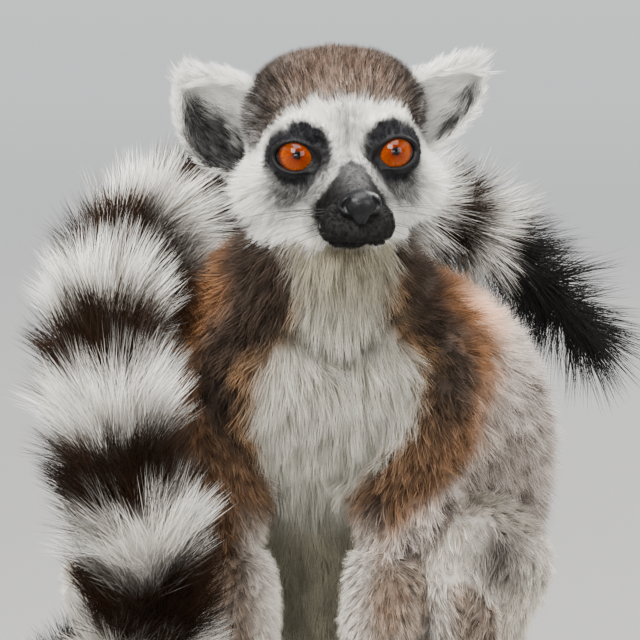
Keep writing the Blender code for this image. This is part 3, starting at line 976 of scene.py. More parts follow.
keep = ~isEar
for _ in range(2):
    values = softened(np.stack([length, lift, width, density], axis=1), edges, 8)
    mixing = np.where(isHead & (hy < 30), 0.12, 1.0)[:, None] * keep[:, None]
    length, lift, width, density = (np.stack([length, lift, width, density], axis=1) * (1 - mixing) + values * mixing).T
tilt = np.radians(lift)[:, None]
lie = unit(flow * np.cos(tilt) + normals * np.sin(tilt))
report(f"coat planned, from {length.min():.1f} to {length.max():.1f} mm long")

# markings: hex colours of the hairs' tips, and of their roots where those differ
tints = {
    "white": "#f4f3ef", "cream": "#e6e1d4", "olive": "#867d66", "patch": "#232224", "muzzle": "#1b1918",
    "cap": "#1c1410", "capLight": "#66574b", "capRufous": "#5a3723", "capRoot": "#84776c", "earInside": "#4f4c4a",
    "underEye": "#3b3937", "bridge": "#5a5857", "dot": "#7a7773", "black": "#161413", "leather": "#121111",
    "shoulder": "#46392f", "shoulderRoot": "#2a231e", "rufous": "#9d6e47", "rufousRoot": "#523a2b", "tan": "#a7825a",
    "salmon": "#ffdcc0", "salmonRoot": "#dba887", "flank": "#e8dcd1", "flankDark": "#897d75", "flankShade": "#3a3633",
    "back": "#7b6f67", "backRoot": "#514944", "bib": "#cac7bb", "bibRoot": "#999283", "foldShade": "#4d473c",
    "bellyInShade": "#a7a18c", "mauve": "#7b6a61", "brown": "#755b43", "thigh": "#efe6d8", "thighRoot": "#999082",
    "arm": "#a3907f", "armRoot": "#6f655c", "pale": "#e8e1d4",
    "tailWhite": "#fbf7ee", "tailWhiteRoot": "#c6c0b6", "tailDark": "#0b0806", "tailBrown": "#2e1e13",
}
tints = {name: linear(value) for name, value in tints.items()}
tip = np.tile(tints["back"], (len(points), 1))
root = np.tile(tints["backRoot"], (len(points), 1))
grizzle = np.full(len(points), 0.5)  # how much one hair differs from the next


def paint(mask, tipName, rootName, speckle):
    global tip, root, grizzle
    mask = np.clip(mask, 0, 1)
    cover = mask[:, None]
    tip = tip * (1 - cover) + tints[tipName] * cover
    root = root * (1 - cover) + tints[rootName] * cover
    grizzle = grizzle * (1 - mask) + speckle * mask


# the trunk and arms, from the white bib outwards: dark, rufous, salmon and pale flanks
upper = on("trunk", "neck", "upper_arm")
streak = 2.5 * wander(22, 5)
onLeft = ease(4, 14, x)  # the bands are narrower on its left
leftEdge = np.interp(z, *markings["leftEdge"])
tanEdge = np.interp(z, *markings["tanEdge"])
darkEdge = tanEdge + np.interp(z, *markings["darkWidth"]) - 4 * onLeft
darkEdge = np.minimum(darkEdge, np.where(x > bibMiddle, leftEdge - 5, 99))
rufousEdge = markings["rightEdge"] * (1 - onLeft) + leftEdge * onLeft
salmonEdge = rufousEdge + markings["salmonWidth"] - (2 + 5 * ease(172, 160, z)) * onLeft
fronts = upper * facing
banded = beyond + streak
grain = wander(9, 57, (1, 1, 5))  # streaks that run down the flanks
paint(upper * ease(120, 200, z) * (1 - facing) * 0.5, "back", "backRoot", 0.9)
paint(fronts * ease(salmonEdge - 3, salmonEdge + 3, banded), "flank", "flankDark", 0.7)
pastRufous, beforeFlank = ease(rufousEdge - 3, rufousEdge, banded), ease(salmonEdge + 3, salmonEdge - 2, banded)
paint(fronts * pastRufous * beforeFlank, "salmon", "salmonRoot", 0.45)
pastDark, beforeSalmon = ease(darkEdge - 4, darkEdge + 4, banded), ease(rufousEdge + 2, rufousEdge - 3, banded)
paint(fronts * pastDark * beforeSalmon, "rufous", "rufousRoot", 0.9)
beforeRufous, beforeDark = ease(darkEdge + 4, darkEdge - 4, banded), ease(tanEdge + 2, tanEdge - 3, banded)
paint(fronts * ease(-1, 3, beyond) * beforeRufous, "shoulder", "shoulderRoot", 1.1)
paint(fronts * ease(-2, 1, beyond) * beforeDark * (tanEdge > 1) * 0.8, "tan", "rufousRoot", 0.9)
lowArm = upperArm * ease(150, 125, z)
paint(lowArm * ease(rufousEdge - 2, rufousEdge + 4, beyond), "flank", "flankDark", 0.6)
paint(lowArm * ease(rufousEdge + 4, rufousEdge - 4, beyond) * 0.9, "brown", "rufousRoot", 1.0)
paint(lowArm * ease(0.2, 0.8, wander(13, 59)) * 0.6, "shoulder", "shoulderRoot", 1.0)
paint(upper * (1 - facing) * ease(0.25, 0.8, wander(30, 11)) * 0.5, "flankDark", "backRoot", 0.8)
paint(isBib, "bib", "bibRoot", 0.3)
# the upper throat below the chin in olive: partly the fur's own tinge, partly painted shade under the head
paint(isBib * ease(164, 190, z) * 0.75, "olive", "olive", 0.9)
paint(crease * 1.2 * hump(z, foldHeight(x) + 5, 2.8), "foldShade", "shoulderRoot", 0.6)
# the belly between the arms: its own cream, darkened with painted shade of the hollow there
low = chest * ease(110, 98, z) * ease(0.4, -0.2, normals[:, 1]) * ease(40, 25, np.abs(x - 2))
paint(low, "bellyInShade", "bellyInShade", 0.6)
flanks = on("trunk", "thigh") * ease(24, 45, np.abs(x - bibMiddle)) * ease(10, -30, y)
paint(flanks * ease(195, 165, z) * ease(salmonEdge - 6, salmonEdge, beyond) * 0.9, "flank", "flankDark", 0.7)
outer = on("trunk", "upper_arm") * ease(salmonEdge - 2, salmonEdge + 6, beyond)
# mauve streaks down the outer flanks: the coat's own colour, with the shade between its locks painted in
paint(outer * ease(-0.1, 0.5, grain) * 0.85, "mauve", "backRoot", 1.0)
paint(thigh, "thigh", "thighRoot", 0.6)
# the same streaks on the back of the thigh: its own mauve, with painted shade between the locks
paint(thigh * ease(0.25, 0.8, grain) * ease(-90, -60, y) * 0.7, "mauve", "backRoot", 0.7)
paint(on("forearm", "shank"), "arm", "armRoot", 1.2)
paint(on("forearm", "shank") * ease(0.2, 0.8, wander(15, 63)) * 0.45, "rufous", "armRoot", 1.0)
inner = ease(-0.15, -0.65, normals[:, 0] * np.where(x > bibMiddle, 1, -1))
paint(on("upper_arm", "forearm", "thigh", "shank") * inner * ease(112, 92, z), "pale", "flankDark", 0.3)
# painted shadow in the gap between the thigh and the shank: a dark grey patch with a ragged edge
thighGapShadow = on("trunk", "thigh", "shank") * np.exp(-(((x - 62) / 10) ** 2) - ((z - 91) / 14) ** 2) * ease(-10, -50, y)
paint(thighGapShadow * ease(-1.6, -0.4, wander(12, 61)), "flankShade", "backRoot", 0.8)
paint(on("hand", "foot"), "flank", "flankDark", 0.5)
leather = on("hand", "foot") * np.maximum(ease(-0.2, -0.6, normals[:, 2]), ease(0.8, 0.95, share))

# the head: white, with a peppered cap, dark patches round the eyes and a dark muzzle
paint(isHead, "white", "cream", 0.12)
capEdge = np.interp(aside, *markings["capEdge"]) + 1.2 * wander(9, 23)
cap = isHead * ease(-1.5, 1.5, seen - np.where(hy < 36, capEdge, capEdge - (hy - 36) * 0.6))
paint(cap, "cap", "capRoot", 3.2)
paint(cap * ease(14, 24, aside) * 0.8, "cap", "shoulderRoot", 3.2)
paint(cap * ease(20, 4, np.hypot(aside * 0.8, seen - 24)) * 0.55, "capLight", "capRoot", 2.4)
paint(cap * ease(16, 6, np.hypot(hx * 0.7, seen - capEdge - 4)) * 0.6, "capRufous", "capRoot", 1.6)
behind = np.maximum(ease(52, 60, hy), ease(36, 46, hy) * ease(6, -2, hz))
paint(isHead * behind, "back", "backRoot", 0.7)
paint(earBase * ease(-0.4, 0.5, wander(2.5, 71)) * 0.85, "white", "capRoot", 1.0)
paint(on("neck") * (1 - facing), "back", "backRoot", 0.6)
paint(isHead * ease(24, 34, hy) * ease(-8, -16, hz), "shoulder", "shoulderRoot", 1.0)
# olive just under the chin: partly the fur's own tinge, partly painted shade under the jaw
underJaw = ease(-26, -29, seen) * ease(-16, -8, hy) * ease(16, 4, hy) * ease(16, 6, aside)
paint(isHead * underJaw, "olive", "olive", 0.6)
flat = np.stack([aside, seen, np.zeros(len(points))], axis=1)
patchForm = joinedForms(flat, (
    (ovalForm, 0, (15.0, 0.9, 0), (10.2, 10.0, 9)), (taperForm, 1.5, (12.0, 0.0, 0), (6.6, -2.2, 0), 4.6, 1.3)))
patchForm += 0.6 * wander(6, 31)
eyeFar, eyeEdge, _ = eyePlace(np.column_stack([aside, hy, hz]))
ahead = isHead * ease(27, 20, hy)
belowEye = np.linalg.norm((flat - [16.6, -9.3, 0]) / [10.4, 8.6, 9], axis=1) - 0.34
paint(ahead * ease(0.75, 0.1, belowEye) * 0.95, "underEye", "bridge", 1.6)
paint(ahead * ease(9, 5, aside) * ease(0, -4, seen) * 0.35, "underEye", "patch", 1.2)
patch = ahead * np.maximum(ease(1.4, -1.2, patchForm), ease(4.2, 2.6, eyeEdge) * ease(14, 12.5, eyeFar))
paint(patch, "patch", "patch", 1.0)
muzzleWide = np.interp(seen, *markings["muzzle"])
muzzle = isHead * ease(0.8, -0.6, aside - muzzleWide - 0.3 * wander(3, 37))
muzzle *= ease(-3, -7, hy - 8 * ease(-15, -8, seen))
muzzle *= ease(-30.4, -29.6, seen)
paint(isHead * ease(9, 1, aside - muzzleWide) * ease(4, -2, hy) * 0.45, "dot", "dot", 1.5)
paint(muzzle, "muzzle", "muzzle", 0.6)
# a lighter grey along the top of the bridge: painted sheen where the light catches it
paint(muzzle * ease(8, 1, aside) * ease(-18, -7, seen) * 0.7, "bridge", "bridge", 0.5)
paint(isEar, "white", "cream", 0.15)
paint(earBack * (1 - 0.6 * rimEar), "white", "tailWhiteRoot", 0.8)
paint(earFront * (1 - rimEar) * ease(0, 0.8, wander(2.5, 47)) * 0.6, "dot", "dot", 1.0)
turnedAway = ease(-1, 1, hx)  # less of the left ear's hollow is bare
hairlessRim = ease(0.3, 0.6, acrossEar) * ease(0.8, 0.6, upEar) * (1 - turnedAway)
earDark = earFront * (1 - rimEar * (1 - hairlessRim))
earDark *= ease(-0.18, 0.2, acrossEar + 0.16 * wander(5, 43) - 0.3 * turnedAway - 0.2 * ease(0.5, 0.1, upEar))
earDark *= 1 - 0.5 * turnedAway * ease(0.35, 0.1, upEar)
paint(earDark, "earInside", "patch", 2.2)

# the tail's rings: each dark one is centred where the count is whole; they crowd together towards its black end
tailRings = {
    "places": (0, 349, 385, 427, 465, 510, 543, 574, 600, 626, 700),
    "counts": (-1.3, 7, 8, 9, 10, 11, 12, 13, 14, 15, 18),
    "dark": ((350, 420, 470, 560, 600), (0.34, 0.32, 0.29, 0.28, 0.28)), "blackFrom": 616.0,
}
tailMm = share * tailRun[-1] / mm
ringCount = np.interp(tailMm, tailRings["places"], tailRings["counts"]) + 0.04 * wander(14, 41)
darkShare = np.interp(tailMm, *tailRings["dark"])
whiteRing = ease(darkShare - 0.025, darkShare + 0.025, np.abs(ringCount - np.round(ringCount)))
paint(isTail, "tailDark", "tailBrown", 0.6)
paint(isTail * ease(0.1, 0.9, wander(26, 67)) * 0.55, "tailBrown", "tailBrown", 0.8)
paint(isTail * whiteRing, "tailWhite", "tailWhiteRoot", 0.35)
paint(isTail * ease(tailRings["blackFrom"] - 4, tailRings["blackFrom"] + 4, tailMm), "black", "black", 0.2)
root, tip = softened(root, edges, 1), softened(tip, edges, 1)
report("markings painted")

# the coat's place on an unwrap: round each line and along it, every line in a cell of its own
corners = np.empty(len(skinMesh.loops), dtype=np.int32)
skinMesh.loops.foreach_get("vertex_index", corners)
faceStart = np.empty(len(skinMesh.polygons), dtype=np.int32)
skinMesh.polygons.foreach_get("loop_start", faceStart)
faceOf = np.repeat(np.arange(len(faceStart)), np.diff(np.append(faceStart, len(corners))))
cells = {
    "tail": (0, 0, 1, 1), "trunk": (0, 0, 1, 1), "head": (0, 0, 1, 0.8), "arm_left": (0, 0, 0.5, 1),
    "arm_right": (0.5, 0, 0.5, 1), "leg_left": (0, 0, 0.5, 1), "leg_right": (0.5, 0, 0.5, 1),
}
cornerTurn = turn[corners]
highest, lowest = np.full(len(faceStart), -9.0), np.full(len(faceStart), 9.0)
np.maximum.at(highest, faceOf, cornerTurn)
np.minimum.at(lowest, faceOf, cornerTurn)
cornerTurn = cornerTurn + ((highest - lowest > 0.5)[faceOf] & (cornerTurn < 0.5))
cellOf = np.array([cells[n] for n in lineOf])[corners]
spot = np.stack([cellOf[:, 0] + cellOf[:, 2] * (0.03 + 0.9 * np.clip(cornerTurn, 0, 1.04)),
                 cellOf[:, 1] + cellOf[:, 3] * (0.02 + 0.96 * np.clip(share[corners], 0, 1))], axis=1)
earCorner = isEar[corners]
earSpot = np.stack([0.03 + 0.2 * (acrossEar + 1) / 2 + 0.25 * layerEar + 0.5 * (hx > 0),
                    0.84 + 0.14 * np.clip(upEar, 0, 1)], axis=1)
spot[earCorner] = earSpot[corners[earCorner]]


def addNode(tree, kind, links, out=0, **settings):
    # links are values or other nodes' outputs, by input name or number; out is the output that is wanted
    node = tree.nodes.new(kind)
    for key, value in settings.items():
        setattr(node, key, value)
    for key, value in links.items():
        if isinstance(value, bpy.types.NodeSocket):
            tree.links.new(value, node.inputs[key])
        else:
            node.inputs[key].default_value = value
    return node if out is None else node.outputs[out]


# tufts, one unit long: hairs that start apart and draw together, each a closed three-sided point
def tuftMesh(name, seed, hairs, bent, spread, thickness, gather, splay):
    draw = np.random.default_rng(seed)
    hairPoints, faces, along, tone, place = [], [], [], [], []
    for k in range(hairs):
        angle = 2 * math.pi * (k + draw.uniform(-0.3, 0.3)) / hairs
        far = 0.5 * spread * math.sqrt(draw.uniform(0.08, 1))
        start = np.array([math.cos(angle), math.sin(angle)]) * far
        end = start * (1 - gather) + draw.normal(size=2) * spread * splay
        tall = draw.uniform(0.68, 1.0)
        arched = k < bent
        levels = (0.0, 0.45, 1.0) if arched else (0.0, 1.0)
        twist, bow = draw.uniform(0, 2 * math.pi), draw.uniform(0.3, 0.75) * arched
        first = len(hairPoints)
        for level in levels:
            sway = np.array([bow * level * (1 - level) * 2, draw.normal() * 0.1 * arched * level])
            middle = start + (end - start) * level + sway
            radius = thickness * (0.5 if level == 0 else 0.46)
            for a in twist + np.arange(3 if level < 1 else 0) * 2 * math.pi / 3:
                hairPoints.append((middle[0] + radius * math.cos(a), middle[1] + radius * math.sin(a), tall * level))
        hairPoints.append((*middle, tall))
        top = len(hairPoints) - 1
        along += [level for level in levels[:-1] for _ in range(3)] + [1.0]
        faces += [[first + 2, first + 1, first]] + tubeFaces(3, len(levels) - 2, first)
        faces += [[top - 3 + k, top - 3 + (k + 1) % 3, top] for k in range(3)]
        count = len(hairPoints) - first
        tone += [draw.uniform(-1, 1)] * count
        place += [(*(start / spread), 0.0)] * count
    mesh = newMesh(name, np.array(hairPoints), faces)
    setAttribute(mesh, "along", "FLOAT", along)
    setAttribute(mesh, "hairTone", "FLOAT", tone)
    setAttribute(mesh, "tuftPlace", "FLOAT_VECTOR", place)
    return mesh


def coatTree(name):
    tree = bpy.data.node_groups.new(name, "GeometryNodeTree")
    for label, kind in (("Skin", "Geometry"), ("Tuft A", "Object"), ("Tuft B", "Object"), ("Tuft C", "Object"),
                        ("Coat", "Material"), ("Seed", "Int"), ("Stray", "Float"), ("Swirl", "Float"),
                        ("Swirl Size", "Float"), ("Patch Size", "Float")):
        tree.interface.new_socket(label, in_out="INPUT", socket_type="NodeSocket" + kind)
    tree.interface.new_socket("Coat Mesh", in_out="OUTPUT", socket_type="NodeSocketGeometry")
    given = addNode(tree, "NodeGroupInput", {}, None).outputs
    stored = {}
    for kind, labels in (("FLOAT", ("tufts", "loose", "tuftLength", "tuftWidth")),
                         ("FLOAT_VECTOR", ("lie", "tuftPlace", "rootPlace"))):
        for label in labels:
            stored[label] = addNode(tree, "GeometryNodeInputNamedAttribute", {"Name": label}, data_type=kind)
    # where tufts stand, and which way each leans: along the coat, in slow swirls, and a little astray
    scatter = addNode(tree, "GeometryNodeDistributePointsOnFaces",
                      {"Mesh": given["Skin"], "Density": stored["tufts"], "Seed": given["Seed"]},
                      None, distribute_method="RANDOM").outputs
    where = addNode(tree, "GeometryNodeInputPosition", {})
    wave = addNode(tree, "ShaderNodeTexNoise", {"Vector": where, "Scale": given["Swirl Size"], "Detail": 1.0}, "Color")
    centred = addNode(tree, "ShaderNodeVectorMath", {0: wave, 1: (0.5, 0.5, 0.5)}, operation="SUBTRACT")
    swirl = addNode(tree, "ShaderNodeVectorMath", {0: centred, 1: given["Swirl"]}, operation="MULTIPLY")
    stray = addNode(tree, "FunctionNodeRandomValue", {0: (-1, -1, -1), 1: (1, 1, 1), "Seed": 3},
                    data_type="FLOAT_VECTOR")
    strayShare = addNode(tree, "ShaderNodeMath", {0: stored["loose"], 1: given["Stray"]}, operation="MULTIPLY")
    astray = addNode(tree, "ShaderNodeVectorMath", {0: stray, 1: strayShare}, operation="MULTIPLY")
    lean = addNode(tree, "ShaderNodeVectorMath", {0: swirl, 1: astray}, operation="ADD")
    leaning = addNode(tree, "ShaderNodeVectorMath", {0: stored["lie"], 1: lean}, operation="ADD")
    direction = addNode(tree, "ShaderNodeVectorMath", {0: leaning}, operation="NORMALIZE")
    turned = addNode(tree, "FunctionNodeAxesToRotation",
                     {"Primary Axis": direction, "Secondary Axis": scatter["Normal"]},
                     primary_axis="Z", secondary_axis="X")
    # its size
    tall = addNode(tree, "FunctionNodeRandomValue", {2: 0.72, 3: 1.12, "Seed": 5}, 1, data_type="FLOAT")
    length = addNode(tree, "ShaderNodeMath", {0: stored["tuftLength"], 1: tall}, operation="MULTIPLY")
    size = addNode(tree, "ShaderNodeCombineXYZ", {"X": stored["tuftWidth"], "Y": stored["tuftWidth"], "Z": length})
    # one of three shapes, with a tone of its own
    shapes = addNode(tree, "GeometryNodeGeometryToInstance", {}, None)
    for label in ("Tuft C", "Tuft B", "Tuft A"):
        shape = addNode(tree, "GeometryNodeObjectInfo", {"Object": given[label]}, "Geometry")
        tree.links.new(shape, shapes.inputs[0])
    toned = addNode(tree, "FunctionNodeRandomValue", {2: -1.0, 3: 1.0, "Seed": 9}, 1, data_type="FLOAT")
    rooted = addNode(tree, "GeometryNodeStoreNamedAttribute",
                     {"Geometry": scatter["Points"], "Name": "tuftTone", "Value": toned},
                     data_type="FLOAT", domain="POINT")
    which = addNode(tree, "FunctionNodeRandomValue", {4: 0, 5: 2, "Seed": 11}, 2, data_type="INT")
    placed = addNode(tree, "GeometryNodeInstanceOnPoints",
                     {"Points": rooted, "Instance": shapes.outputs[0], "Pick Instance": True, "Instance Index": which,
                      "Rotation": turned, "Scale": size})
    solid = addNode(tree, "GeometryNodeRealizeInstances", {0: placed})
    # its place on the unwrap, where a tuft covers a small patch round its root
    offset = addNode(tree, "ShaderNodeVectorMath", {0: stored["tuftPlace"], "Scale": given["Patch Size"]},
                     operation="SCALE")
    baked = addNode(tree, "ShaderNodeVectorMath", {0: stored["rootPlace"], 1: offset}, operation="ADD")
    mapped = addNode(tree, "GeometryNodeStoreNamedAttribute", {"Geometry": solid, "Name": "OFBake", "Value": baked},
                     data_type="FLOAT2", domain="CORNER")
    dressed = addNode(tree, "GeometryNodeSetMaterial", {"Geometry": mapped, "Material": given["Coat"]})
    addNode(tree, "NodeGroupOutput", {0: dressed}, None)
    return tree


def material(name):
    made = bpy.data.materials.new(name)
    made.use_nodes = True
    made.node_tree.nodes.clear()
    return made, made.node_tree


def finishShader(tree, links):
    shader = addNode(tree, "ShaderNodeBsdfPrincipled", links)
    addNode(tree, "ShaderNodeOutputMaterial", {"Surface": shader}, None)


# animal hair: half matt with almost no highlight, darker towards its root (partly the hairs' own darker base, partly
# painted shade deep in the coat), and each hair a little different
hairLook = {"tuftTone": 1.2, "contrast": 0.42, "darkest": 0.18, "roughness": 0.6, "specular": 0.06}
hairCoat, tree = material("Lemur hair")
own = {label: addNode(tree, "ShaderNodeAttribute", {}, out, attribute_name=label)
       for label, out in (("along", "Fac"), ("hairTone", "Fac"), ("tuftTone", "Fac"), ("grizzle", "Fac"),
                          ("rootTint", "Color"), ("tipTint", "Color"))}
hairColour = addNode(tree, "ShaderNodeMix", {0: own["along"], 6: own["rootTint"], 7: own["tipTint"]}, 2,
                     data_type="RGBA")
tuftPart = addNode(tree, "ShaderNodeMath", {0: own["tuftTone"], 1: hairLook["tuftTone"]}, operation="MULTIPLY")
bothTones = addNode(tree, "ShaderNodeMath", {0: own["hairTone"], 1: tuftPart}, operation="ADD")
uneven = addNode(tree, "ShaderNodeMath", {0: bothTones, 1: own["grizzle"]}, operation="MULTIPLY")
bright = addNode(tree, "ShaderNodeMath", {0: uneven, 1: hairLook["contrast"], 2: 1.0}, operation="MULTIPLY_ADD")
bright = addNode(tree, "ShaderNodeMath", {0: bright, 1: hairLook["darkest"]}, operation="MAXIMUM")
shaded = addNode(tree, "ShaderNodeVectorMath", {0: hairColour, "Scale": bright}, operation="SCALE")
finishShader(tree, {"Base Color": shaded, "Roughness": hairLook["roughness"],
                    "Specular IOR Level": hairLook["specular"], "IOR": 1.5})

firstSeed = 4
growth = {"Stray": 0.16, "Swirl": 0.9, "Swirl Size": 110.0, "Patch Size": 0.003}
locks = {
    "long": dict(hairs=11, bent=2, spread=2.3, thickness=0.16, gather=0.15, splay=0.26),
    "middle": dict(hairs=12, bent=1, spread=2.1, thickness=0.14, gather=0.25, splay=0.2),
    "wool": dict(hairs=8, bent=0, spread=1.8, thickness=0.19, gather=0.1, splay=0.32),
    "pepper": dict(hairs=6, bent=0, spread=1.5, thickness=0.19, gather=0.1, splay=0.26),
    "short": dict(hairs=6, bent=0, spread=1.6, thickness=0.24, gather=0.35, splay=0.14),
}
lockObjects = {}
for kind, settings in locks.items():
    lockObjects[kind] = [addPiece(f"{kind}Lock{k}", tuftMesh(f"{kind}Lock{k}", 20 + k, **settings)) for k in range(3)]

# the coat is grown in pieces: where each one grows, its locks, the slot of its finish, and the nodes it stands for
nearFace = (hy < 16) & (length < 6.5)
tailLow, tailEnd = share < 0.34, share >= 0.67
pieces = {
    "coatTailLow": (isTail & tailLow, "long", "tail_coat", tailNames[:3]),
    "coatTailMiddle": (isTail & ~tailLow & ~tailEnd, "long", "tail_coat", tailNames[3:6]),
    "coatTailEnd": (isTail & tailEnd, "long", "tail_coat", tailNames[6:]),
    "coatBib": (chest & (isBib > 0.5), "middle", "white_coat", ["neck", "trunk"]),
    "coatChest": (chest & (y < -45) & (isBib <= 0.5), "wool", "brown_coat", ["neck", "trunk"]),
    "coatBack": (chest & (y >= -45) & (isBib <= 0.5), "wool", "grey_coat", ["trunk"]),
    "coatFace": (isHead & nearFace, "short", "white_coat", ["head"]),
    "coatCrown": (isHead & ~nearFace & (hz > -6), "pepper", "white_coat", ["head"]),
    "coatCheeks": (isHead & ~nearFace & (hz <= -6) | isEar, "short", "white_coat", ["head", "ear_left", "ear_right"]),
    "coatArms": (on(*limbs["arm"]), "short", "brown_coat", nodesOf(*limbs["arm"])),
    "coatLegs": (on(*limbs["leg"]), "short", "grey_coat", nodesOf(*limbs["leg"])),
}
lidBare = ahead * ease(1.1, 0.6, eyeEdge) * ease(12.2, 11.2, eyeFar)
bald = np.maximum(lidBare, leather)
grown = density * 1e4 * (1 - ease(0.3, 0.7, bald))  # tufts in a square metre

plan = {"lie": ("FLOAT_VECTOR", lie), "tuftLength": ("FLOAT", length * mm), "tuftWidth": ("FLOAT", width * mm),
        "loose": ("FLOAT", loose), "grizzle": ("FLOAT", grizzle), "rootTint": ("FLOAT_COLOR", withAlpha(root)),
        "tipTint": ("FLOAT_COLOR", withAlpha(tip)), "tufts": ("FLOAT", grown)}
for name, (kind, values) in plan.items():
    setAttribute(skinMesh, name, kind, values)
setAttribute(skinMesh, "rootPlace", "FLOAT_VECTOR", np.column_stack([spot, np.zeros(len(spot))]), "CORNER")

tuftsTree = coatTree("Coat tufts")
inputId = {item.name: item.identifier for item in tuftsTree.interface.items_tree if item.in_out == "INPUT"}


def dropAttributes(mesh, *names):
    for name in names:
        if name in mesh.attributes:
            mesh.attributes.remove(mesh.attributes[name])


def grownCoat(name, where, kind, seed):
    host = skinMesh.copy()
    host.attributes["tufts"].data.foreach_set("value", np.ascontiguousarray(grown * where, dtype=np.float32))
    obj = addPiece(name, host)
    modifier = obj.modifiers.new("Coat tufts", "NODES")
    modifier.node_group = tuftsTree
    tufts = dict(zip(("Tuft A", "Tuft B", "Tuft C"), lockObjects[kind]))
    for label, value in {**tufts, **growth, "Coat": hairCoat, "Seed": seed}.items():
        modifier[inputId[label]] = value
    mesh = bakedMesh(obj)
    mesh.name = name
    places = readPoints(mesh)
    low = places[:, 2] < 1.5 * mm  # hairs that meet the floor are pressed flat on it
    places[low, 2] = (0.2 + 1.3 * np.exp((places[low, 2] / mm - 1.5) / 1.3)) * mm
    writePoints(mesh, places)
    mesh.materials.clear()
    mesh.materials.append(hairCoat)
    mesh.polygons.foreach_set("material_index", np.zeros(len(mesh.polygons), dtype=np.int32))
    dropAttributes(mesh, "lie", "tuftLength", "tuftWidth", "loose", "tufts", "rootPlace", "tuftPlace")
    bpy.data.objects.remove(obj)
    bpy.data.meshes.remove(host)
    return addPiece(name, mesh)


total = 0
for k, (name, (where, kind, slot, standsFor)) in enumerate(pieces.items()):
    piece = grownCoat(name, where, kind, firstSeed + k)
    declared(piece, slot, *standsFor)
    count = len(piece.data.loops) - 2 * len(piece.data.polygons)
    total += count
    report(f"{name}: {count} triangles")
report(f"the coat has {total} triangles in all")
for group in lockObjects.values():
    for obj in group:
        bpy.data.objects.remove(obj)


# the skin under the coat: soft, matt and coloured as the hairs over it; dark dry leather on palms, soles and lids
skinTint = (0.45 * root + 0.55 * tip) * (0.62 + 0.3 * np.maximum(ease(8, 2, length), isHead * 0.9))[:, None]
skinTint = skinTint * (1 - bald)[:, None] + tints["leather"] * bald[:, None]
skinTint[earDark > 0.5] *= 0.6
setAttribute(skinMesh, "skinTint", "FLOAT_COLOR", withAlpha(skinTint))
setAttribute(skinMesh, "bald", "FLOAT", bald)
dropAttributes(skinMesh, "rootPlace", *plan)

# grain of the nap and wrinkles of the leather, and the relief's height, in mm
skinLook = {"nap": 0.5, "wrinkle": 1.1, "strength": 0.4, "height": 0.22, "specular": 0.22}
lemurSkin, tree = material("Lemur skin")
place = addNode(tree, "ShaderNodeTexCoord", {}, "Object")
nap = addNode(tree, "ShaderNodeTexNoise", {"Vector": place, "Scale": 1 / (skinLook["nap"] * mm), "Detail": 2.0}, "Fac")
wrinkle = addNode(tree, "ShaderNodeTexVoronoi", {"Vector": place, "Scale": 1 / (skinLook["wrinkle"] * mm)}, "Distance",
                  feature="DISTANCE_TO_EDGE")
tint = addNode(tree, "ShaderNodeAttribute", {}, "Color", attribute_name="skinTint")
bare = addNode(tree, "ShaderNodeAttribute", {}, "Fac", attribute_name="bald")
toned = addNode(tree, "ShaderNodeMath", {0: nap, 1: 0.7, 2: 0.65}, operation="MULTIPLY_ADD")
skinColour = addNode(tree, "ShaderNodeVectorMath", {0: tint, "Scale": toned}, operation="SCALE")
shallow = addNode(tree, "ShaderNodeMath", {0: wrinkle, 1: 0.25}, operation="MINIMUM")
bareThrice = addNode(tree, "ShaderNodeMath", {0: bare, 1: 3.0}, operation="MULTIPLY")
wrinkled = addNode(tree, "ShaderNodeMath", {0: shallow, 1: bareThrice}, operation="MULTIPLY")
relief = addNode(tree, "ShaderNodeMath", {0: nap, 1: wrinkled}, operation="ADD")
raised = addNode(tree, "ShaderNodeBump", {"Height": relief, "Strength": skinLook["strength"],
                                          "Distance": skinLook["height"] * mm})
gloss = addNode(tree, "ShaderNodeMath", {0: bare, 1: -0.32, 2: 0.8}, operation="MULTIPLY_ADD")
finishShader(tree, {"Base Color": skinColour, "Roughness": gloss, "Normal": raised, "IOR": 1.4,
                    "Specular IOR Level": skinLook["specular"]})
skinMesh.materials.append(lemurSkin)
declared(addPiece("lemurSkin", skinMesh), "grey_coat", *fleshNames)

# the nose: wet black skin in small round cells, so it catches a broken highlight
noseLook = {"cell": 0.55, "height": 0.16, "light": "#0c0b0d", "dark": "#040405"}  # sizes in mm
noseSkin, tree = material("Moist nose skin")
place = addNode(tree, "ShaderNodeTexCoord", {}, "Object")
fromCell = addNode(tree, "ShaderNodeTexVoronoi", {"Vector": place, "Scale": 1 / (noseLook["cell"] * mm)}, "Distance",
                   feature="F1")
domed = addNode(tree, "ShaderNodeMath", {0: 1.0, 1: fromCell}, operation="SUBTRACT")
raised = addNode(tree, "ShaderNodeBump", {"Height": domed, "Strength": 0.9, "Distance": noseLook["height"] * mm})
noseTone = addNode(tree, "ShaderNodeMix", {0: fromCell, 6: opaque(noseLook["light"]), 7: opaque(noseLook["dark"])}, 2,
                   data_type="RGBA")
finishShader(tree, {"Base Color": noseTone, "Normal": raised, "Roughness": 0.5, "IOR": 1.42, "Specular IOR Level": 0.2,
                    "Coat Weight": 0.22, "Coat Roughness": 0.22})
nosePad.materials.append(noseSkin)
declared(addPiece("nosePad", nosePad), "bare_skin", "nose")

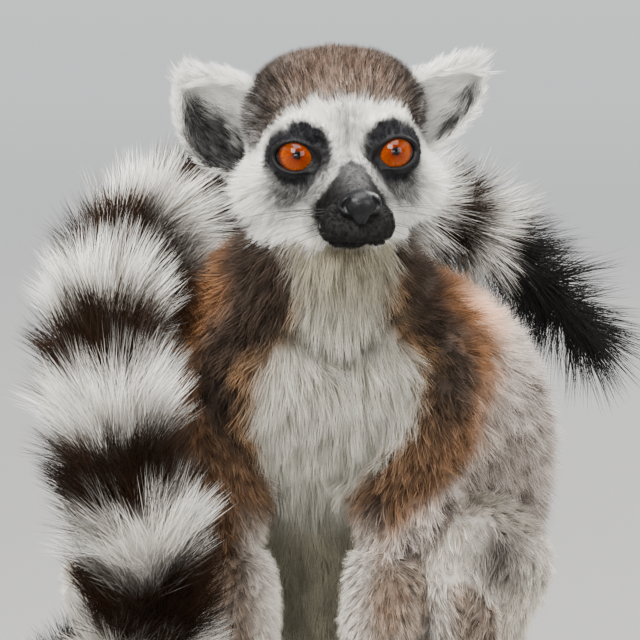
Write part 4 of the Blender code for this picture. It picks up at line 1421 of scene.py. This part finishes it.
# the eyes: an orange iris with fine spokes under a clear wet cornea, a small round pupil and a dark rim; the top of the
# iris is darkened by a painted shadow of the upper lid
eyeLook = {  # colours by degrees from the pupil's middle
    "widest": 60.0, "spokes": (9.0, 9.0, 3.5), "upperLidShadow": -0.65,
    "stops": ((0.0, "#020202"), (7.8, "#030202"), (8.6, "#3c1002"), (12.0, "#6c2002"), (22.0, "#883200"),
              (35.5, "#994200"), (42.0, "#602202"), (47.5, "#240a02"), (49.0, "#120d0c"), (60.0, "#0e0b0a")),
}
eyeWet, tree = material("Wet amber eye")
fromPupil = addNode(tree, "ShaderNodeAttribute", {}, "Fac", attribute_name="fromPupil")
lidShade = addNode(tree, "ShaderNodeAttribute", {}, "Fac", attribute_name="upperLidShadow")
roundPupil = addNode(tree, "ShaderNodeAttribute", {}, "Vector", attribute_name="roundPupil")
outShare = addNode(tree, "ShaderNodeMath", {0: fromPupil, 1: eyeLook["widest"]}, operation="DIVIDE")
ramp = addNode(tree, "ShaderNodeValToRGB", {"Fac": outShare}, None)
while len(ramp.color_ramp.elements) < len(eyeLook["stops"]):
    ramp.color_ramp.elements.new(0.5)
for element, (angle, colour) in zip(ramp.color_ramp.elements, eyeLook["stops"]):
    element.position, element.color = angle / eyeLook["widest"], opaque(colour)
stretched = addNode(tree, "ShaderNodeVectorMath", {0: roundPupil, 1: eyeLook["spokes"]}, operation="MULTIPLY")
spokes = addNode(tree, "ShaderNodeTexNoise", {"Vector": stretched, "Scale": 1.6, "Detail": 4.0, "Roughness": 0.6},
                 "Fac")
spokeTone = addNode(tree, "ShaderNodeMath", {0: spokes, 1: 1.7, 2: -0.15}, operation="MULTIPLY_ADD")
# the iris darkened towards its top: the upper lid's shadow, painted in
lidTone = addNode(tree, "ShaderNodeMath", {0: lidShade, 1: eyeLook["upperLidShadow"], 2: 1.0}, operation="MULTIPLY_ADD")
irisTone = addNode(tree, "ShaderNodeMath", {0: spokeTone, 1: lidTone}, operation="MULTIPLY")
irisColour = addNode(tree, "ShaderNodeVectorMath", {0: ramp.outputs[0], "Scale": irisTone}, operation="SCALE")
finishShader(tree, {"Base Color": irisColour, "Roughness": 0.5, "Specular IOR Level": 0.0, "IOR": 1.38,
                    "Coat Weight": 0.8, "Coat Roughness": 0.02, "Coat IOR": 1.36})
for name, mesh in eyeMeshes.items():
    mesh.materials.append(eyeWet)
    declared(addPiece(name + "_ball", mesh), "amber_eye", name)

# whiskers: stiff black bristles that taper, in rows on the pads beside the nose; diameters and lengths in mm
whisker = {"root": 0.22, "end": 0.05, "segments": 7, "shortest": 25, "longest": 36, "droop": (0, 0.10, -0.16)}
draws = np.random.default_rng(12)
whiskerShells = []
for side in (1, -1):
    inRows = [(row, k) for row in range(3) for k in range(3)]
    roots = [(side * (9.5 - 1.4 * row), -25.5 + 3.6 * k, -16.0 - 2.6 * row + 0.3 * k) for row, k in inRows]
    starts, _ = projected(np.array(roots, dtype=float), headForm, 8)
    aims = unit(np.array([(side * (1.0 + 0.12 * k), 0.5 + 0.15 * k, 0.06 - 0.16 * row) for row, k in inRows]))
    sizes = draws.uniform(whisker["shortest"], whisker["longest"], len(roots))
    for start, aim, size in zip(starts, aims, sizes):
        aim = unit(aim + draws.normal(size=3) * 0.07)
        droop = np.array(whisker["droop"]) * (start[2] < 0)
        t = np.linspace(0, 1, whisker["segments"] + 1)[:, None]
        middle = start + aim * size * t + droop * size * t**2
        along, across, up = framesOf(middle)
        ringPoints = [m + (whisker["root"] * (1 - k) + whisker["end"] * k) / 2 * (math.cos(a) * p + math.sin(a) * q)
                      for m, p, q, k in zip(middle, across, up, t.ravel()) for a in (0, 2.094, 4.189)]
        last = 3 * whisker["segments"]
        bristle = [[2, 1, 0], [last, last + 1, last + 2]] + tubeFaces(3, whisker["segments"])
        whiskerShells.append((fromHead(ringPoints), bristle))
bristleBlack, tree = material("Black whisker")
finishShader(tree, {"Base Color": opaque("#1b1817"), "Roughness": 0.4, "IOR": 1.55})
whiskers = addPiece("whiskers", outwards(joinedMesh("whiskers", whiskerShells)))
whiskers.data.materials.append(bristleBlack)
declared(whiskers, "tail_coat", "head")

# nails: small dark hoods at the end of every finger and toe, in mm
nail = {"long": 4.2, "wide": 2.7, "thick": 1.5, "curl": 0.16, "apart": 9.0, "back": 1.8, "up": 0.6, "lowest": 0.3}
nailShells = []
for part, before in (("hand", "forearm"), ("foot", "shank")):
    for hand in ("left", "right"):
        own = readPoints(nodes[f"{part}_{hand}"].data) / mm
        heel = middleOf(f"{before}_{hand}") / mm
        out = (own - heel)[:, :2]
        far, bearing = np.linalg.norm(out, axis=1), np.degrees(np.arctan2(out[:, 0], -out[:, 1]))
        free = np.ones(len(own), dtype=bool)
        for _ in range(5):
            best = np.nonzero(free)[0][np.argmax(far[free])]
            free &= np.abs(bearing - bearing[best]) > nail["apart"]
            tipPlace = own[best]
            forwards = unit(np.append(out[best], 0.0))
            middle = tipPlace - forwards * nail["back"] + [0, 0, nail["up"]]
            sideways = np.array([-forwards[1], forwards[0], 0])
            form = bmesh.new()
            bmesh.ops.create_icosphere(form, subdivisions=2, radius=0.5)
            ball = np.array([v.co for v in form.verts])
            faces = [[v.index for v in f.verts] for f in form.faces]
            form.free()
            run = ball[:, 0] * nail["long"]
            high = ball[:, 2] * nail["thick"] * (1.1 - ball[:, 0]) - nail["curl"] * (run + nail["long"] / 2) ** 2 / 2
            aside = ball[:, 1] * nail["wide"] * (1.05 - 0.5 * ball[:, 0])
            shape = middle + run[:, None] * forwards + aside[:, None] * sideways + high[:, None] * worldUp
            shape[:, 2] = np.maximum(shape[:, 2], nail["lowest"])
            nailShells.append((shape * mm, faces))
horn, tree = material("Dark horn nail")
place = addNode(tree, "ShaderNodeTexCoord", {}, "Object")
grain = addNode(tree, "ShaderNodeTexNoise", {"Vector": place, "Scale": 1 / (0.9 * mm), "Detail": 2.0}, "Fac")
hornTone = addNode(tree, "ShaderNodeMix", {0: grain, 6: opaque("#0d0b09"), 7: opaque("#241e19")}, 2, data_type="RGBA")
finishShader(tree, {"Base Color": hornTone, "Roughness": 0.5, "Specular IOR Level": 0.25, "IOR": 1.54})
nails = addPiece("nails", outwards(joinedMesh("nails", nailShells)))
nails.data.shade_smooth()
nails.data.materials.append(horn)
declared(nails, "bare_skin", *nodesOf("hand", "foot"))

# the room: a wide floor of matt card that curves up, painted darker near the middle where the lamps light it most and
# paler far away where less light reaches, and broad soft lamps
room = {
    "flat": 8.0, "reach": 16.0, "rim": 1.6, "sides": 48, "inner": (0.3, 0.8, 2, 4), "outer": 12,
    "near": "#8c8b88", "far": "#f3f3f2", "fade": (0.5, 4.5), "air": (0.86, 0.9, 0.94, 1), "airStrength": 0.5,
}
lamps = {  # place, aim, width, height, watts
    "key": ((-1.0, -1.9, 1.7), (0, -0.1, 0.15), 1.3, 1.3, 126),
    "top": ((0.1, -0.5, 2.2), (0, -0.08, 0.15), 1.8, 1.8, 104),
    "fill": ((1.7, -1.6, 0.7), (0, -0.1, 0.15), 1.3, 1.5, 46),
    "low": ((-0.3, -2.4, 0.35), (0, -0.1, 0.12), 1.2, 0.6, 22),
    "rim": ((0.9, 1.1, 1.3), (0, -0.05, 0.2), 0.8, 0.8, 34),
}
farLamp = {"out": 7.5, "up": 4.0, "wide": 5.0, "watts": 110}  # four more over the far floor
sides = room["sides"]
turns = np.linspace(0, 2 * np.pi, sides, endpoint=False)
ringRadii = [*room["inner"], *np.linspace(room["flat"], room["reach"], room["outer"])]
rises = [room["rim"] * max(0, (r - room["flat"]) / (room["reach"] - room["flat"])) ** 2 for r in ringRadii]
floorPoints = [(0, 0, 0)] + [(r * math.cos(t), r * math.sin(t), up) for r, up in zip(ringRadii, rises) for t in turns]
floorFaces = [[0, 1 + k, 1 + (k + 1) % sides] for k in range(sides)]
floorFaces += [[a, d, c, b] for a, b, c, d in tubeFaces(sides, len(ringRadii) - 1, 1)]
floor = addPiece("floor", newMesh("floor", np.array(floorPoints), floorFaces))
floor.data.shade_smooth()
paper, tree = material("Matt card floor")
place = addNode(tree, "ShaderNodeTexCoord", {}, "Object")
away = addNode(tree, "ShaderNodeVectorMath", {0: place}, "Value", operation="LENGTH")
fade = addNode(tree, "ShaderNodeMapRange", {"Value": away, "From Min": room["fade"][0], "From Max": room["fade"][1]},
               interpolation_type="SMOOTHSTEP")
card = addNode(tree, "ShaderNodeMix", {0: fade, 6: opaque(room["near"]), 7: opaque(room["far"])}, 2, data_type="RGBA")
finishShader(tree, {"Base Color": card, "Roughness": 0.95, "Specular IOR Level": 0.1})
floor.data.materials.append(paper)

for k, (across, along) in enumerate(((1, 0), (0, 1), (-1, 0), (0, -1))):
    over = (farLamp["out"] * across, farLamp["out"] * along)
    lamps[f"far{k}"] = ((*over, farLamp["up"]), (*over, 0), farLamp["wide"], farLamp["wide"], farLamp["watts"])
for name, (place, aim, wide, tall, watts) in lamps.items():
    lamp = bpy.data.lights.new(name, "AREA")
    lamp.shape, lamp.size, lamp.size_y, lamp.energy = "RECTANGLE", wide, tall, watts
    obj = addPiece(name, lamp)
    obj.location = place
    obj.rotation_euler = (Vector(aim) - Vector(place)).to_track_quat("-Z", "Y").to_euler()
world = bpy.data.worlds.new("soft room")
world.use_nodes = True
world.node_tree.nodes["Background"].inputs["Color"].default_value = room["air"]
world.node_tree.nodes["Background"].inputs["Strength"].default_value = room["airStrength"]
bpy.context.scene.world = world

sight = {"target": (0.0032, -0.14, 0.171), "distance": 2.2, "elevation": 5.0, "across": 0.206}
rise = math.radians(sight["elevation"])
eyeLine = Vector((0, math.cos(rise), -math.sin(rise)))
lens = bpy.data.cameras.new("view")
lens.sensor_width = 36
lens.lens = lens.sensor_width * sight["distance"] / sight["across"]
camera = addPiece("view", lens)
camera.location = Vector(sight["target"]) - eyeLine * sight["distance"]
camera.rotation_euler = eyeLine.to_track_quat("-Z", "Y").to_euler()
bpy.context.scene.camera = camera

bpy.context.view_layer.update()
report("done")
